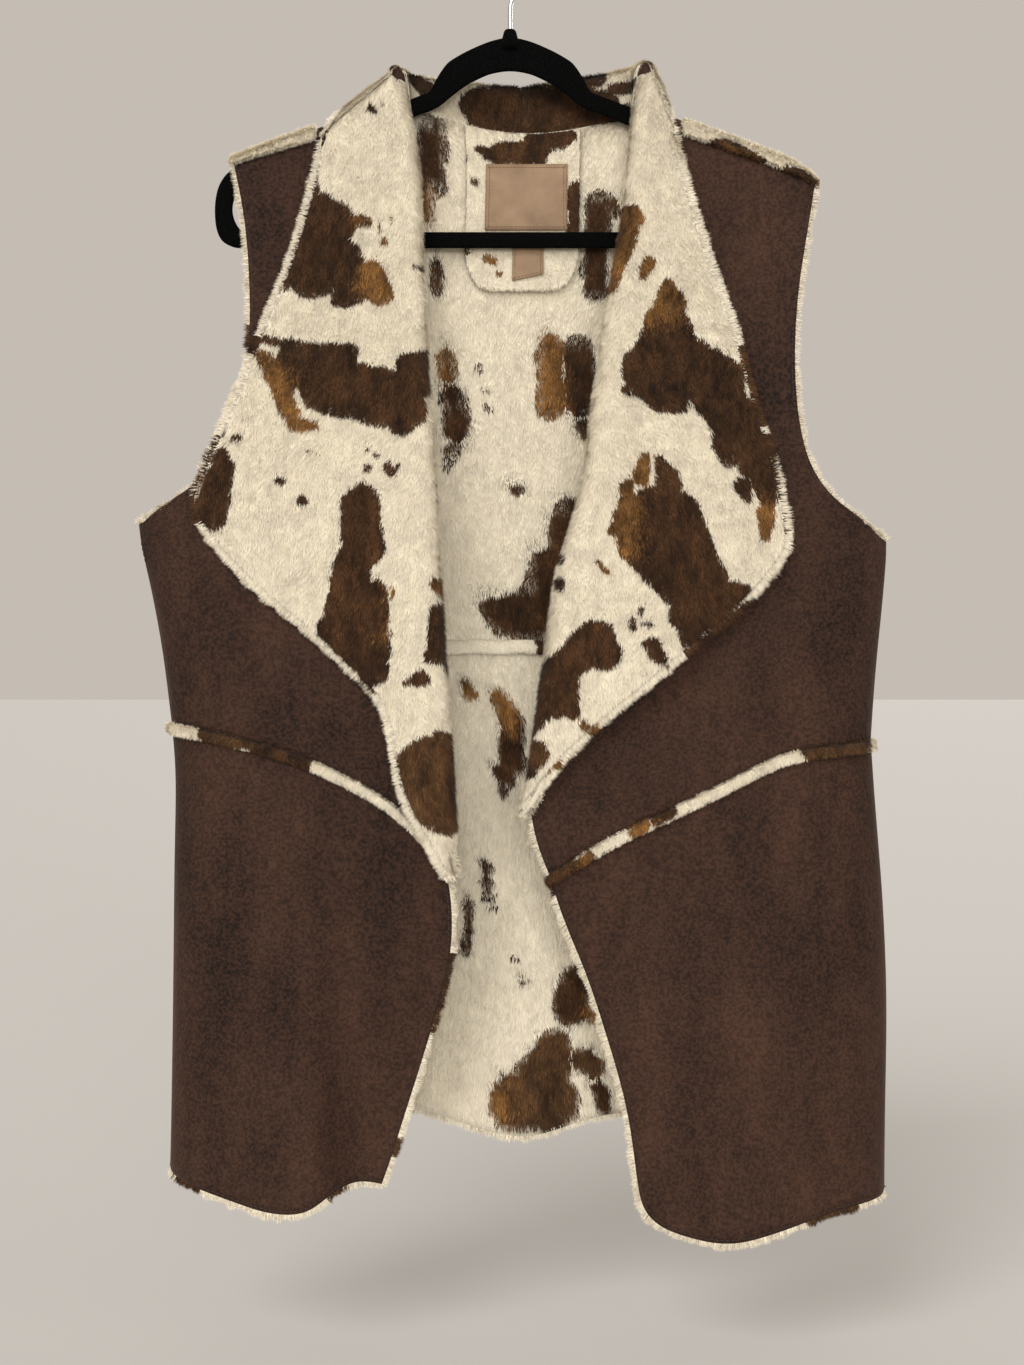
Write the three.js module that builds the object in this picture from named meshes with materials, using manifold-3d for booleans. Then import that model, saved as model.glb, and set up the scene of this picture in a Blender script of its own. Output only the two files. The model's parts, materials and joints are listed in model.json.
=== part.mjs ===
// Western vest with a draped shawl collar, suede outside and pile inside, hung on a flocked hanger.
// Millimetres, +Z up. The front faces -Y and the wearer's right side lies at -X.
// The origin is the inside top of the hanger's hook. Depth means the distance in front of the
// hanger's middle plane, so a point's Y is minus its depth.

import * as THREE from 'three';
import { mergeVertices } from 'three/addons/utils/BufferGeometryUtils.js';
import Module from 'manifold-3d';

const wasm = await Module();
wasm.setup();

// Driving dimensions
const WALL = 5; // bonded suede with its pile
const SEAM_GAP = 0.3; // between pieces that are sewn together
const LAID = 0.7; // under a piece that is laid on a panel
const NECK_GAP = 0.6; // between the back's top edge and the stand
const NECK_X = 8.5; // the vest hangs a little to the wearer's left of the hanger's middle
const NECK_POINT = { right: -80, left: 97 }; // x of the neck end of each shoulder seam
const ARM = { topX: 61, topZ: -115, slope: 0.388, endX: 205, thick: 5.5 }; // the hanger's arms
const ARM_CLEAR = 0.4; // between a hanger's arm and the pile that lies on it
const ARM_SIDE_CLEAR = 0.7; // between an arm's flat sides and the pile
const WRAP_R = ARM.thick / 2 + ARM_SIDE_CLEAR + WALL; // suede face over the hanger's arm
const ON_ARM = { lapel: 86, back: 88 }; // how far from the neck's middle cloth lies on an arm
const DROOP = 0.012; // how fast the shoulder's tip falls past the arm's end
const SIDE_DEPTH = SEAM_GAP / 2; // the front's and the back's suede edge at a side seam
const STRIP = { thick: 3.2, width: 6.5 }; // pile that shows along the lapped seams
const COLLAR_ROLL = 5; // suede radius of the collar's roll
const COLLAR_CROWN = 5; // the collar's fall bulges out by a quarter of this halfway down
const LAPEL_EASE = 1.5; // how soon a lapel drops from its roll to its rest
const FACING_DROP = 1.5; // from the back's neck edge down to the facing
const BOSS_EDGE = 1.5; // height of the boss's rounded top edge
const NECK_BOW = { depth: 17, z: -145, halfWidth: 62, halfHeight: 70 }; // the back stands off here
const FACING = { x: 9.5, half: 46.5, foot: -263, corner: 23, thick: 3.2 };
const LABEL = { x: 12.5, width: 67, top: -167, foot: -219, thick: 0.8 };
const CARE_LABEL = { x: 14.5, width: 25, top: -230, foot: -257, slant: 5, thick: 0.8 };
const HOOK = { wire: 1.7, inner: 20, turn: -48, tip: 205, foot: -78 }; // radii, angles in degrees, z
const BOSS = { top: -68, foot: -82, topR: 4.6, footR: 7.5 };

const COLOURS = {
  suede: 0x40302a, pile: 0xe6dfd0, label: 0xb79a78, flock: 0x101011, wire: 0xb9bcc0,
};

// Easing and the piecewise cubic that the tables are read with
const clamp = (v, lo = 0, hi = 1) => Math.min(hi, Math.max(lo, v));
const lerp = (a, b, t) => a + (b - a) * t;
const smooth = (v) => {
  const c = clamp(v);
  return c * c * (3 - 2 * c);
};
const steps = (n) => Array.from({ length: n + 1 }, (_, i) => i / n);

// The value of one column of a table where its key column is `at`
function column(rows, key, name, at) {
  const order = rows[rows.length - 1][key] > rows[0][key] ? rows : [...rows].reverse();
  const xs = order.map((r) => r[key]);
  const ys = order.map((r) => r[name]);
  const n = xs.length;
  const x = clamp(at, xs[0], xs[n - 1]);
  let i = 0;
  while (i < n - 2 && x > xs[i + 1]) i++;
  const slope = (j) => (ys[j + 1] - ys[j]) / (xs[j + 1] - xs[j]);
  const tangent = (j) => {
    if (j === 0) return slope(0);
    if (j === n - 1) return slope(n - 2);
    const a = slope(j - 1);
    const b = slope(j);
    return a * b <= 0 ? 0 : (2 * a * b) / (a + b);
  };
  const h = xs[i + 1] - xs[i];
  const t = (x - xs[i]) / h;
  const t2 = t * t;
  const t3 = t2 * t;
  const ends = ys[i] * (2 * t3 - 3 * t2 + 1) + ys[i + 1] * (-2 * t3 + 3 * t2);
  return ends + h * (tangent(i) * (t3 - 2 * t2 + t) + tangent(i + 1) * (t3 - t2));
}

// A line made of smooth runs that meet at corners. Each run ends at its own share of the way.
function path(...runs) {
  const curves = runs.map(({ points }) => {
    const places = points.map(([x, z]) => new THREE.Vector3(x, z, 0));
    const curve = new THREE.CatmullRomCurve3(places, false, 'centripetal');
    curve.arcLengthDivisions = 400;
    return curve;
  });
  return (t) => {
    const i = Math.max(0, runs.findIndex((run) => t <= run.until + 1e-9));
    const from = i ? runs[i - 1].until : 0;
    const p = curves[i].getPointAt(clamp((t - from) / (runs[i].until - from)));
    return [p.x, p.y];
  };
}

// A patch between four edges: s runs across and t down
function patch(top, bottom, near, far) {
  const corner = [top(0), top(1), bottom(0), bottom(1)];
  return (s, t) => [0, 1].map((k) => {
    const ruled = lerp(top(s)[k], bottom(s)[k], t) + lerp(near(t)[k], far(t)[k], s);
    const flat = lerp(lerp(corner[0][k], corner[1][k], s), lerp(corner[2][k], corner[3][k], s), t);
    return ruled - flat;
  });
}

// Rows and columns of the grids
const FRONT_ROWS = 24;
const CORNER_ROW = 12; // the lapel's corner
const UNDERARM_ROW = 14;
const SHOULDER_COLS = 14;
const STAND_COLS = 2;
const CHEST_COLS = SHOULDER_COLS + STAND_COLS;
const ROLL_COLS = 5;
const LAPEL_COLS = 8;
const LOWER_ROWS = 10;
const BACK_ROWS = 15;
const BACK_SIDE_COLS = 9; // on each side of the neck
const BACK_NECK_COLS = 8;
const STAND_SHARE = 0.86; // where the neck point comes on a front's top edge
const BACK_SHARE = 0.3; // and on the back's top edge
const EDGE_CROWD = 1.5; // columns lie closer towards a side seam
const UNDERARM_SHARE = UNDERARM_ROW / FRONT_ROWS;
const CORNER_SHARE = CORNER_ROW / FRONT_ROWS;
const crowded = steps(SHOULDER_COLS).map((s) => s ** EDGE_CROWD);
const chestSteps = [
  ...crowded.map((s) => s * STAND_SHARE),
  ...steps(STAND_COLS).slice(1).map((s) => lerp(STAND_SHARE, 1, s)),
];
const backHalf = steps(BACK_SIDE_COLS).map((s) => BACK_SHARE * s ** 1.4);
const backSteps = [
  ...backHalf,
  ...steps(BACK_NECK_COLS).slice(1, -1).map((s) => lerp(BACK_SHARE, 1 - BACK_SHARE, s)),
  ...backHalf.map((s) => 1 - s).reverse(),
];

// Outlines seen from the front: x and z of points on each edge
const outlines = {
  right: {
    armhole: [
      [-211, -172], [-203, -213], [-199, -258], [-198, -300], [-201, -349], [-212, -386],
      [-230, -409], [-252, -424], [-282, -439],
    ],
    side: [[-282, -439], [-273, -484], [-264, -530], [-256, -592]],
    shoulder: [[-211, -172], [-172, -160], [-125, -146], [-80, -134]],
    stand: [[-80, -134], [-80, -106]],
    roll: [
      [-80, -106], [-79, -130], [-76, -172], [-75, -225], [-71, -316], [-64, -428],
      [-59, -516], [-54, -589], [-48, -660], [-42, -705],
    ],
    waist: [
      [-256, -592], [-231, -596], [-200, -603], [-169, -611], [-147, -619], [-117, -633],
      [-84, -653], [-59, -680], [-42, -705],
    ],
    lapelUpper: [
      [-142, -153], [-150, -182], [-168, -246], [-185, -288], [-206, -345], [-220, -380],
      [-234, -412], [-239, -437],
    ],
    lapelLower: [
      [-239, -437], [-203, -482], [-154, -523], [-120, -554], [-91, -581], [-88, -611],
      [-84, -643], [-62, -682], [-46, -708],
    ],
    lowerSide: [[-256, -592], [-253, -620], [-254, -700], [-255, -801], [-257, -931]],
    hem: [
      [-257, -931], [-232, -938], [-203, -946], [-181, -950.5], [-157, -951], [-141, -947],
      [-131, -939], [-122, -934], [-110, -933], [-93, -935],
    ],
    frontEdge: [
      [-42, -705], [-39, -733], [-41, -767], [-54, -816], [-64, -849], [-80, -899],
      [-87, -922], [-93, -935],
    ],
  },
  left: {
    armhole: [
      [233, -188], [226, -228], [219, -273], [216, -326], [219, -371], [227, -402],
      [243, -424], [265, -439], [286, -452],
    ],
    side: [[286, -452], [282, -499], [276, -560], [273, -605]],
    shoulder: [[233, -188], [210, -177], [160, -159], [125, -147], [97, -138]],
    stand: [[97, -138], [97, -103]],
    roll: [
      [97, -103], [96, -128], [97, -160], [95, -198], [81, -284], [72, -354], [62, -428],
      [47, -472], [38, -529], [28, -590], [18, -638], [12, -654],
    ],
    waist: [
      [273, -605], [245, -608], [214, -612], [198, -616], [168, -631], [125, -652],
      [81, -672], [51, -689], [26, -705],
    ],
    innerEdge: [[26, -705], [14, -675], [12, -654]],
    lapelUpper: [
      [122, -150], [135, -185], [151, -239], [171, -299], [183, -352], [197, -389],
      [204, -426], [211, -462],
    ],
    lapelLower: [[211, -462], [176, -505], [131, -542], [98, -570], [65, -596], [26, -636], [9, -658]],
    lowerSide: [[273, -605], [276, -650], [282, -725], [285, -800], [284, -876], [283, -948]],
    hem: [
      [283, -948], [250, -951], [213, -960], [181, -968], [150, -972], [121, -968],
      [101, -958], [93, -949],
    ],
    frontEdge: [
      [26, -705], [37, -740], [50, -769], [67, -820], [83, -877], [90, -928], [93, -949],
    ],
  },
  back: {
    waist: [
      [-256, -592], [-200, -566], [-130, -544], [-60, -534], [9, -533], [80, -535],
      [150, -548], [215, -574], [273, -605],
    ],
    hem: [
      [-257, -931], [-180, -915], [-110, -897], [-73, -892], [-30, -906], [14, -914],
      [50, -903], [83, -895], [130, -901], [200, -925], [283, -948],
    ],
  },
};
const backNeck = [
  { x: -80, z: -125.4 },
  { x: -66, z: -127 },
  { x: -40, z: -133.5 },
  { x: 8.5, z: -140 },
  { x: 57, z: -137 },
  { x: 83, z: -133 },
  { x: 97, z: -132 },
];

// The two side lines that the body's depth is measured in from. Above the underarm they carry on
// up past the armholes.
const sideLines = {
  right: [
    { z: -100, x: -285 }, { z: -439, x: -282 }, { z: -484, x: -273 }, { z: -530, x: -264 },
    { z: -592, x: -256 }, { z: -620, x: -253 }, { z: -700, x: -254 }, { z: -801, x: -255 },
    { z: -931, x: -257 },
  ],
  left: [
    { z: -100, x: 289 }, { z: -452, x: 286 }, { z: -499, x: 282 }, { z: -560, x: 276 },
    { z: -605, x: 273 }, { z: -650, x: 276 }, { z: -725, x: 282 }, { z: -800, x: 285 },
    { z: -876, x: 284 }, { z: -948, x: 283 },
  ],
};

// Sections of the hung body. The suede lies `base` off the middle plane at the side lines and
// `front` or `back` further out over each panel, which it reaches at its run from the side.
const sections = [
  { z: -172, base: 8.45, front: 0, back: 0, frontRun: 72, backRun: 60 },
  { z: -225, base: 8, front: 3.5, back: 3, frontRun: 72, backRun: 58 },
  { z: -300, base: 7, front: 12, back: 9, frontRun: 74, backRun: 56 },
  { z: -350, base: 5.5, front: 20, back: 14, frontRun: 75, backRun: 55 },
  { z: -390, base: 3.5, front: 27, back: 18, frontRun: 75, backRun: 55 },
  { z: -420, base: 1.2, front: 33, back: 21, frontRun: 76, backRun: 55 },
  { z: -439, base: SIDE_DEPTH, front: 35, back: 23, frontRun: 77, backRun: 56 },
  { z: -516, base: SIDE_DEPTH, front: 39, back: 26, frontRun: 80, backRun: 58 },
  { z: -592, base: SIDE_DEPTH, front: 42, back: 28, frontRun: 84, backRun: 60 },
  { z: -707, base: SIDE_DEPTH, front: 45, back: 30, frontRun: 88, backRun: 64 },
  { z: -800, base: SIDE_DEPTH, front: 51, back: 30, frontRun: 94, backRun: 66 },
  { z: -950, base: SIDE_DEPTH, front: 64, back: 28, frontRun: 104, backRun: 66 },
];

// Folds of the hung cloth: each runs from (x0, z0) to (x1, z1) and has grown to `rise` at its end.
// A ridge spreads `width` to both sides. A step also lowers or lifts all that lies inwards of it.
const folds = {
  right: [
    { kind: 'step', x0: -140, z0: -650, x1: -127, z1: -945, width: 11, rise: -24 },
    { kind: 'ridge', x0: -205, z0: -640, x1: -212, z1: -950, width: 26, rise: -8 },
    { kind: 'ridge', x0: -158, z0: -700, x1: -150, z1: -950, width: 22, rise: 6 },
    { kind: 'ridge', x0: -168, z0: -440, x1: -190, z1: -600, width: 30, rise: -5 },
  ],
  left: [
    { kind: 'ridge', x0: 138, z0: -600, x1: 126, z1: -970, width: 15, rise: -8 },
    { kind: 'ridge', x0: 176, z0: -640, x1: 164, z1: -970, width: 22, rise: 9 },
    { kind: 'step', x0: 118, z0: -660, x1: 100, z1: -960, width: 30, rise: -14 },
    { kind: 'ridge', x0: 232, z0: -700, x1: 236, z1: -955, width: 20, rise: -6 },
    { kind: 'ridge', x0: 190, z0: -470, x1: 205, z1: -610, width: 30, rise: -5 },
  ],
  back: [
    { kind: 'ridge', x0: 12, z0: -620, x1: 14, z1: -915, width: 44, rise: -10 },
    { kind: 'ridge', x0: -98, z0: -600, x1: -110, z1: -905, width: 34, rise: 9 },
    { kind: 'ridge', x0: 118, z0: -600, x1: 128, z1: -905, width: 34, rise: 9 },
    { kind: 'ridge', x0: -185, z0: -640, x1: -192, z1: -925, width: 26, rise: -7 },
    { kind: 'ridge', x0: 204, z0: -640, x1: 210, z1: -930, width: 26, rise: -7 },
  ],
  rightLapel: [
    { kind: 'step', x0: -98, z0: -470, x1: -92, z1: -610, width: 8, rise: 9 },
    { kind: 'ridge', x0: -190, z0: -300, x1: -90, z1: -340, width: 20, rise: 4 },
    { kind: 'ridge', x0: -130, z0: -165, x1: -92, z1: -230, width: 14, rise: 4 },
  ],
  leftLapel: [
    { kind: 'ridge', x0: 108, z0: -220, x1: 172, z1: -345, width: 16, rise: 6 },
    { kind: 'ridge', x0: 60, z0: -500, x1: 120, z1: -556, width: 30, rise: 9 },
  ],
};

// How each lapel stands off the front, by its share of the way down: its outer edge above the
// front's suede, and the suede radius of its roll.
const lapelRows = {
  right: [
    { t: 0, rest: 4, roll: 5 },
    { t: 0.2, rest: 3.6, roll: 6.5 },
    { t: 0.5, rest: 4.2, roll: 8 },
    { t: 0.7, rest: 5, roll: 8 },
    { t: 0.86, rest: 9, roll: 8 },
    { t: 1, rest: 4.5, roll: 3.2 },
  ],
  left: [
    { t: 0, rest: 4, roll: 5 },
    { t: 0.2, rest: 3.8, roll: 7 },
    { t: 0.5, rest: 5, roll: 8.5 },
    { t: 0.7, rest: 12, roll: 9 },
    { t: 0.88, rest: 12, roll: 8 },
    { t: 1, rest: 4.5, roll: 3.2 },
  ],
};

// The back half of the collar, from the shoulder seam to the middle of the neck: the stand's foot
// and top, which way the roll turns, and the fall's outer edge. The x of each is measured
// outwards from the neck's middle.
const collarRows = {
  right: [
    { a: 0, x: 88.5, footD: 8.45, footZ: -134, topD: 8.45, topZ: -106,
      outX: 0.72, outD: 0.69, edgeX: 150.5, edgeD: 12.4, edgeZ: -153 },
    { a: 0.16, x: 88.3, footD: 3.2, footZ: -119.4, topD: 1, topZ: -104,
      outX: 1, outD: 0.08, edgeX: 135, edgeD: 3, edgeZ: -131 },
    { a: 0.3, x: 86.8, footD: -6, footZ: -119.4, topD: -8, topZ: -104,
      outX: 0.97, outD: -0.25, edgeX: 124, edgeD: -11, edgeZ: -138 },
    { a: 0.46, x: 74.5, footD: -12, footZ: -126.7, topD: -16, topZ: -105,
      outX: 0.8, outD: -0.6, edgeX: 108, edgeD: -17, edgeZ: -150 },
    { a: 0.7, x: 42, footD: -22, footZ: -134.6, topD: -26, topZ: -107,
      outX: 0.42, outD: -0.91, edgeX: 66, edgeD: -26, edgeZ: -159 },
    { a: 1, x: 0, footD: -27, footZ: -139.7, topD: -30, topZ: -109,
      outX: 0, outD: -1, edgeX: 0, edgeD: -31, edgeZ: -162 },
  ],
  left: [
    { a: 0, x: 88.5, footD: 8.45, footZ: -138, topD: 8.45, topZ: -103,
      outX: 0.72, outD: 0.69, edgeX: 113.5, edgeD: 12.4, edgeZ: -150 },
    { a: 0.16, x: 88.3, footD: 3.2, footZ: -125.6, topD: 1, topZ: -100,
      outX: 1, outD: 0.08, edgeX: 111, edgeD: 2, edgeZ: -128 },
    { a: 0.3, x: 86.8, footD: -6, footZ: -125.6, topD: -8, topZ: -99,
      outX: 0.97, outD: -0.25, edgeX: 112, edgeD: -12, edgeZ: -139 },
    { a: 0.46, x: 74.5, footD: -12, footZ: -132.5, topD: -16, topZ: -100,
      outX: 0.8, outD: -0.6, edgeX: 102, edgeD: -18, edgeZ: -150 },
    { a: 0.7, x: 42, footD: -22, footZ: -137.2, topD: -26, topZ: -104,
      outX: 0.42, outD: -0.91, edgeX: 64, edgeD: -26, edgeZ: -159 },
    { a: 1, x: 0, footD: -27, footZ: -139.7, topD: -30, topZ: -109,
      outX: 0, outD: -1, edgeX: 0, edgeD: -31, edgeZ: -162 },
  ],
};
const FOOT_ON_BACK = { from: 0.32, to: 0.46 }; // from here on the stand's foot follows the back
const COLLAR_STEPS = 12;
const STAND_STEPS = 3;
const HEADING_SHARE = 0.13; // of the roll line, over which its turn goes from upright to sideways
const LAPEL_CLEAR = 1.2; // least gap between the collar's or a lapel's suede and the body's

// From a fold list, what it adds to the depth at a point. Inwards is +1 for the wearer's right.
function foldDepth(list, x, z, inward) {
  let sum = 0;
  for (const f of list) {
    const dx = f.x1 - f.x0;
    const dz = f.z1 - f.z0;
    const along = clamp(((x - f.x0) * dx + (z - f.z0) * dz) / (dx * dx + dz * dz));
    const offX = x - (f.x0 + dx * along);
    const offZ = z - (f.z0 + dz * along);
    const ridge = Math.exp(-(offX * offX + offZ * offZ) / f.width ** 2);
    const step = smooth(0.5 + (inward * offX) / (2 * f.width));
    sum += f.rise * smooth(along) * (f.kind === 'ridge' ? ridge : step);
  }
  return sum;
}
const inwards = (side) => (side === 'right' ? 1 : -1);
const sideX = (side, z) => column(sideLines[side], 'z', 'x', z);
const sectionAt = (name, z) => column(sections, 'z', name, z);
const round = (u) => Math.sqrt(1 - (1 - clamp(u)) ** 2); // an ellipse's quarter

// Depth of the suede face of a front and of the back at (x, z)
function frontDepth(side, x, z) {
  const share = (inwards(side) * (x - sideX(side, z))) / sectionAt('frontRun', z);
  const folded = foldDepth(folds[side], x, z, inwards(side)) * smooth(share * 1.4);
  return sectionAt('base', z) + sectionAt('front', z) * round(share) + folded;
}
function backDepth(x, z) {
  const fromSide = Math.min(x - sideX('right', z), sideX('left', z) - x);
  const share = fromSide / sectionAt('backRun', z);
  const across = ((x - NECK_X) / NECK_BOW.halfWidth) ** 4;
  const down = ((z - NECK_BOW.z) / NECK_BOW.halfHeight) ** 2;
  const bow = NECK_BOW.depth * Math.exp(-across - down);
  const folded = foldDepth(folds.back, x, z, 1) * smooth(share);
  return -(sectionAt('base', z) + sectionAt('back', z) * round(share) + bow + folded);
}

// The point of the part's frame at x, depth and z
const place = (x, depth, z) => new THREE.Vector3(x, -depth, z);

// Which way the suede faces where a depth function passes (x, z). Facing is +1 for a front.
function suedeNormal(depth, x, z, facing) {
  const h = 0.4;
  const slopeX = (depth(x + h, z) - depth(x - h, z)) / (2 * h);
  const slopeZ = (depth(x, z + h) - depth(x, z - h)) / (2 * h);
  return new THREE.Vector3(-slopeX, -1, -slopeZ).normalize().multiplyScalar(facing);
}
const frontNormal = (side, x, z) => suedeNormal((u, v) => frontDepth(side, u, v), x, z, 1);
const backNormal = (x, z) => suedeNormal(backDepth, x, z, -1);
const sideNormal = (side) => new THREE.Vector3(-inwards(side), 0, 0);

// The cloth over a hanger's arm, by the distance round it from the ridge towards the front
function ridgeZ(x) {
  const past = Math.max(0, Math.abs(x) - ARM.endX);
  return ARM.topZ - (Math.abs(x) - ARM.topX) * ARM.slope + ARM_CLEAR + WALL - DROOP * past * past;
}
const QUARTER = (WRAP_R * Math.PI) / 2;
function onShoulder(x, about) {
  const centre = ridgeZ(x) - WRAP_R;
  const over = clamp(about, -QUARTER, QUARTER);
  const angle = over / WRAP_R;
  const normal = new THREE.Vector3(0, -Math.sin(angle), Math.cos(angle));
  const point = place(x, 0, centre - Math.abs(about - over)).addScaledVector(normal, WRAP_R);
  return { point, normal };
}
function roundTo(x, z) {
  const up = z - (ridgeZ(x) - WRAP_R);
  return up > 0 ? WRAP_R * Math.acos(clamp(up / WRAP_R)) : QUARTER - up;
}

// A closed wall on a grid of points on its face. Its other side lies `thick` behind, against the
// grid's normals or the ones that `normalAt` gives. Turned says that across x down points behind.
function wall(face, thick, turned, normalAt = () => null) {
  const rows = face.length;
  const cols = face[0].length;
  const at = (j, i) => face[clamp(j, 0, rows - 1)][clamp(i, 0, cols - 1)];
  const back = face.map((line, j) => line.map((p, i) => {
    const across = at(j, i + 1).clone().sub(at(j, i - 1));
    const down = at(j + 1, i).clone().sub(at(j - 1, i));
    const front = across.cross(down).normalize().multiplyScalar(turned ? -1 : 1);
    return p.clone().addScaledVector(normalAt(j, i) ?? front, -thick);
  }));
  return { face, back, turned, geometry: between(face, back, turned) };
}
function between(face, back, turned) {
  const rows = face.length;
  const cols = face[0].length;
  const count = rows * cols;
  const positions = [face, back].flat(2).flatMap((p) => p.toArray());
  const index = [];
  const quad = (a, b, c, d) => index.push(...(turned ? [a, c, b, a, d, c] : [a, b, c, a, c, d]));
  const id = (j, i) => j * cols + i;
  for (let j = 0; j < rows - 1; j++) {
    for (let i = 0; i < cols - 1; i++) {
      const [a, b, c, d] = [id(j, i), id(j, i + 1), id(j + 1, i + 1), id(j + 1, i)];
      quad(a, b, c, d);
      quad(count + a, count + d, count + c, count + b);
    }
  }
  const rim = [];
  for (let i = 0; i < cols; i++) rim.push(id(0, i));
  for (let j = 1; j < rows; j++) rim.push(id(j, cols - 1));
  for (let i = cols - 2; i >= 0; i--) rim.push(id(rows - 1, i));
  for (let j = rows - 2; j > 0; j--) rim.push(id(j, 0));
  const halfway = cols + rows - 2; // past it the diagonals turn, so that sewn edges match
  rim.forEach((a, k) => {
    const b = rim[(k + 1) % rim.length];
    if (k < halfway) quad(b, a, count + a, count + b);
    else quad(a, count + a, count + b, b);
  });
  const geometry = new THREE.BufferGeometry();
  geometry.setAttribute('position', new THREE.Float32BufferAttribute(positions, 3));
  geometry.setIndex(index);
  return geometry;
}

// A piece that lies on a wall: its places are fractional rows and columns of the wall's grid
function onGrid(grid, j, i) {
  const row = Math.min(Math.floor(j), grid.length - 2);
  const col = Math.min(Math.floor(i), grid[0].length - 2);
  const upper = grid[row][col].clone().lerp(grid[row][col + 1], i - col);
  return upper.lerp(grid[row + 1][col].clone().lerp(grid[row + 1][col + 1], i - col), j - row);
}
function coverOn(base, places, inside, lift, thick) {
  const near = inside ? base.back : base.face;
  const far = inside ? base.face : base.back;
  const at = ([j, i], height) => {
    const p = onGrid(near, j, i);
    const out = p.clone().sub(onGrid(far, j, i)).normalize();
    return p.addScaledVector(out, height);
  };
  const under = places.map((line) => line.map((spot) => at(spot, lift)));
  const over = places.map((line) => line.map((spot) => at(spot, lift + thick)));
  return between(over, under, inside ? !base.turned : base.turned);
}

// Joins and cuts
function solidOf(geometry) {
  const bare = geometry.index ? geometry.toNonIndexed() : geometry.clone();
  bare.deleteAttribute('normal');
  bare.deleteAttribute('uv');
  const merged = mergeVertices(bare, 1e-3);
  const vertProperties = merged.attributes.position.array;
  const triVerts = new Uint32Array(merged.index.array);
  return new wasm.Manifold(new wasm.Mesh({ numProp: 3, vertProperties, triVerts }));
}
function geometryOf(solid) {
  const mesh = solid.getMesh();
  const geometry = new THREE.BufferGeometry();
  geometry.setAttribute('position', new THREE.BufferAttribute(mesh.vertProperties, 3));
  geometry.setIndex(new THREE.BufferAttribute(mesh.triVerts, 1));
  return geometry;
}

const vest = new THREE.Group();
vest.name = 'vest_on_hanger';
function add(name, geometry, colour, roughness = 0.9, metalness = 0) {
  geometry.computeVertexNormals();
  const material = new THREE.MeshStandardMaterial({ color: colour, roughness, metalness });
  const mesh = new THREE.Mesh(geometry, material);
  mesh.name = name;
  vest.add(mesh);
}

// Keeps a point of the collar or a lapel clear of the body beneath it
function clearOfBody(p, lift) {
  const centre = ridgeZ(p.x) - WRAP_R;
  const overArm = Math.abs(p.x - NECK_X) > ON_ARM.lapel;
  if (overArm && p.z > centre) {
    const away = new THREE.Vector3(0, p.y, p.z - centre);
    const need = WRAP_R + lift;
    if (away.length() < need) {
      away.setLength(need);
      p.set(p.x, away.y, centre + away.z);
    }
    return p;
  }
  if (p.y > 0 && p.z < column(backNeck, 'x', 'z', p.x)) p.y = Math.max(p.y, lift - backDepth(p.x, p.z));
  return p;
}

// A point on the roll: the sheet heads one way, then turns outwards round a radius
function roll(foot, heading, out, radius, angle) {
  const up = radius * Math.sin(angle);
  const over = radius * (1 - Math.cos(angle));
  return foot.clone().addScaledVector(heading, up).addScaledVector(out, over);
}
function rollFrame(side, t) {
  const turn = smooth(t / HEADING_SHARE);
  const angle = (Math.PI / 2) * (1 - turn);
  const first = collarRows[side][0];
  const heading = new THREE.Vector3(inwards(side) * Math.cos(angle), 0, Math.sin(angle));
  const outX = -inwards(side) * first.outX * (1 - turn);
  const out = new THREE.Vector3(outX, -lerp(first.outD, 1, turn), 0).normalize();
  return { heading, out };
}

// Upper fronts. Each row of the grid runs across the chest to the roll line, turns forward round
// the roll and comes back out over the chest as the lapel.
function chestPatch(side) {
  const o = outlines[side];
  const toPoint = [{ points: o.waist, until: STAND_SHARE }, { points: o.innerEdge, until: 1 }];
  return patch(
    path({ points: o.shoulder, until: STAND_SHARE }, { points: o.stand, until: 1 }),
    side === 'right' ? path({ points: o.waist, until: 1 }) : path(...toPoint),
    path({ points: o.armhole, until: UNDERARM_SHARE }, { points: o.side, until: 1 }),
    path({ points: o.roll, until: 1 }),
  );
}
function frontRow(side, t, chest, edge) {
  const lapel = folds[`${side}Lapel`];
  const radius = column(lapelRows[side], 't', 'roll', t);
  const rest = column(lapelRows[side], 't', 'rest', t);
  const points = chestSteps.map((s, i) => {
    const [x, z] = chest(s, t);
    const onArm = t === 0 && i <= SHOULDER_COLS;
    return onArm ? onShoulder(x, roundTo(x, z)).point : place(x, frontDepth(side, x, z), z);
  });
  const foot = points[points.length - 1];
  const { heading, out } = rollFrame(side, t);
  for (const k of steps(ROLL_COLS).slice(1)) {
    points.push(roll(foot, heading, out, radius, Math.PI * k));
  }
  const start = points[points.length - 1];
  const [endX, endZ] = edge(t);
  const startLift = -start.y - frontDepth(side, start.x, start.z);
  for (const w of steps(LAPEL_COLS).slice(1)) {
    const x = lerp(start.x, endX, w);
    const z = lerp(start.z, endZ, w);
    const lift = lerp(rest, startLift, (1 - w) ** LAPEL_EASE);
    const folded = foldDepth(lapel, x, z, inwards(side)) * smooth(w * 3);
    points.push(place(x, frontDepth(side, x, z) + lift + folded, z));
  }
  return points;
}
// The seam between a front and the collar: its row of points, and the way it runs round the neck
function seamRound(side) {
  const { out } = rollFrame(side, 0);
  return new THREE.Vector3(0, 0, 1).cross(out).multiplyScalar(-inwards(side));
}
function frontGrid(side) {
  const o = outlines[side];
  const upper = { points: o.lapelUpper, until: CORNER_SHARE };
  const edge = path(upper, { points: o.lapelLower, until: 1 });
  const chest = chestPatch(side);
  return steps(FRONT_ROWS).map((t) => frontRow(side, t, chest, edge));
}
const frontGrids = { right: frontGrid('right'), left: frontGrid('left') };

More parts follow.
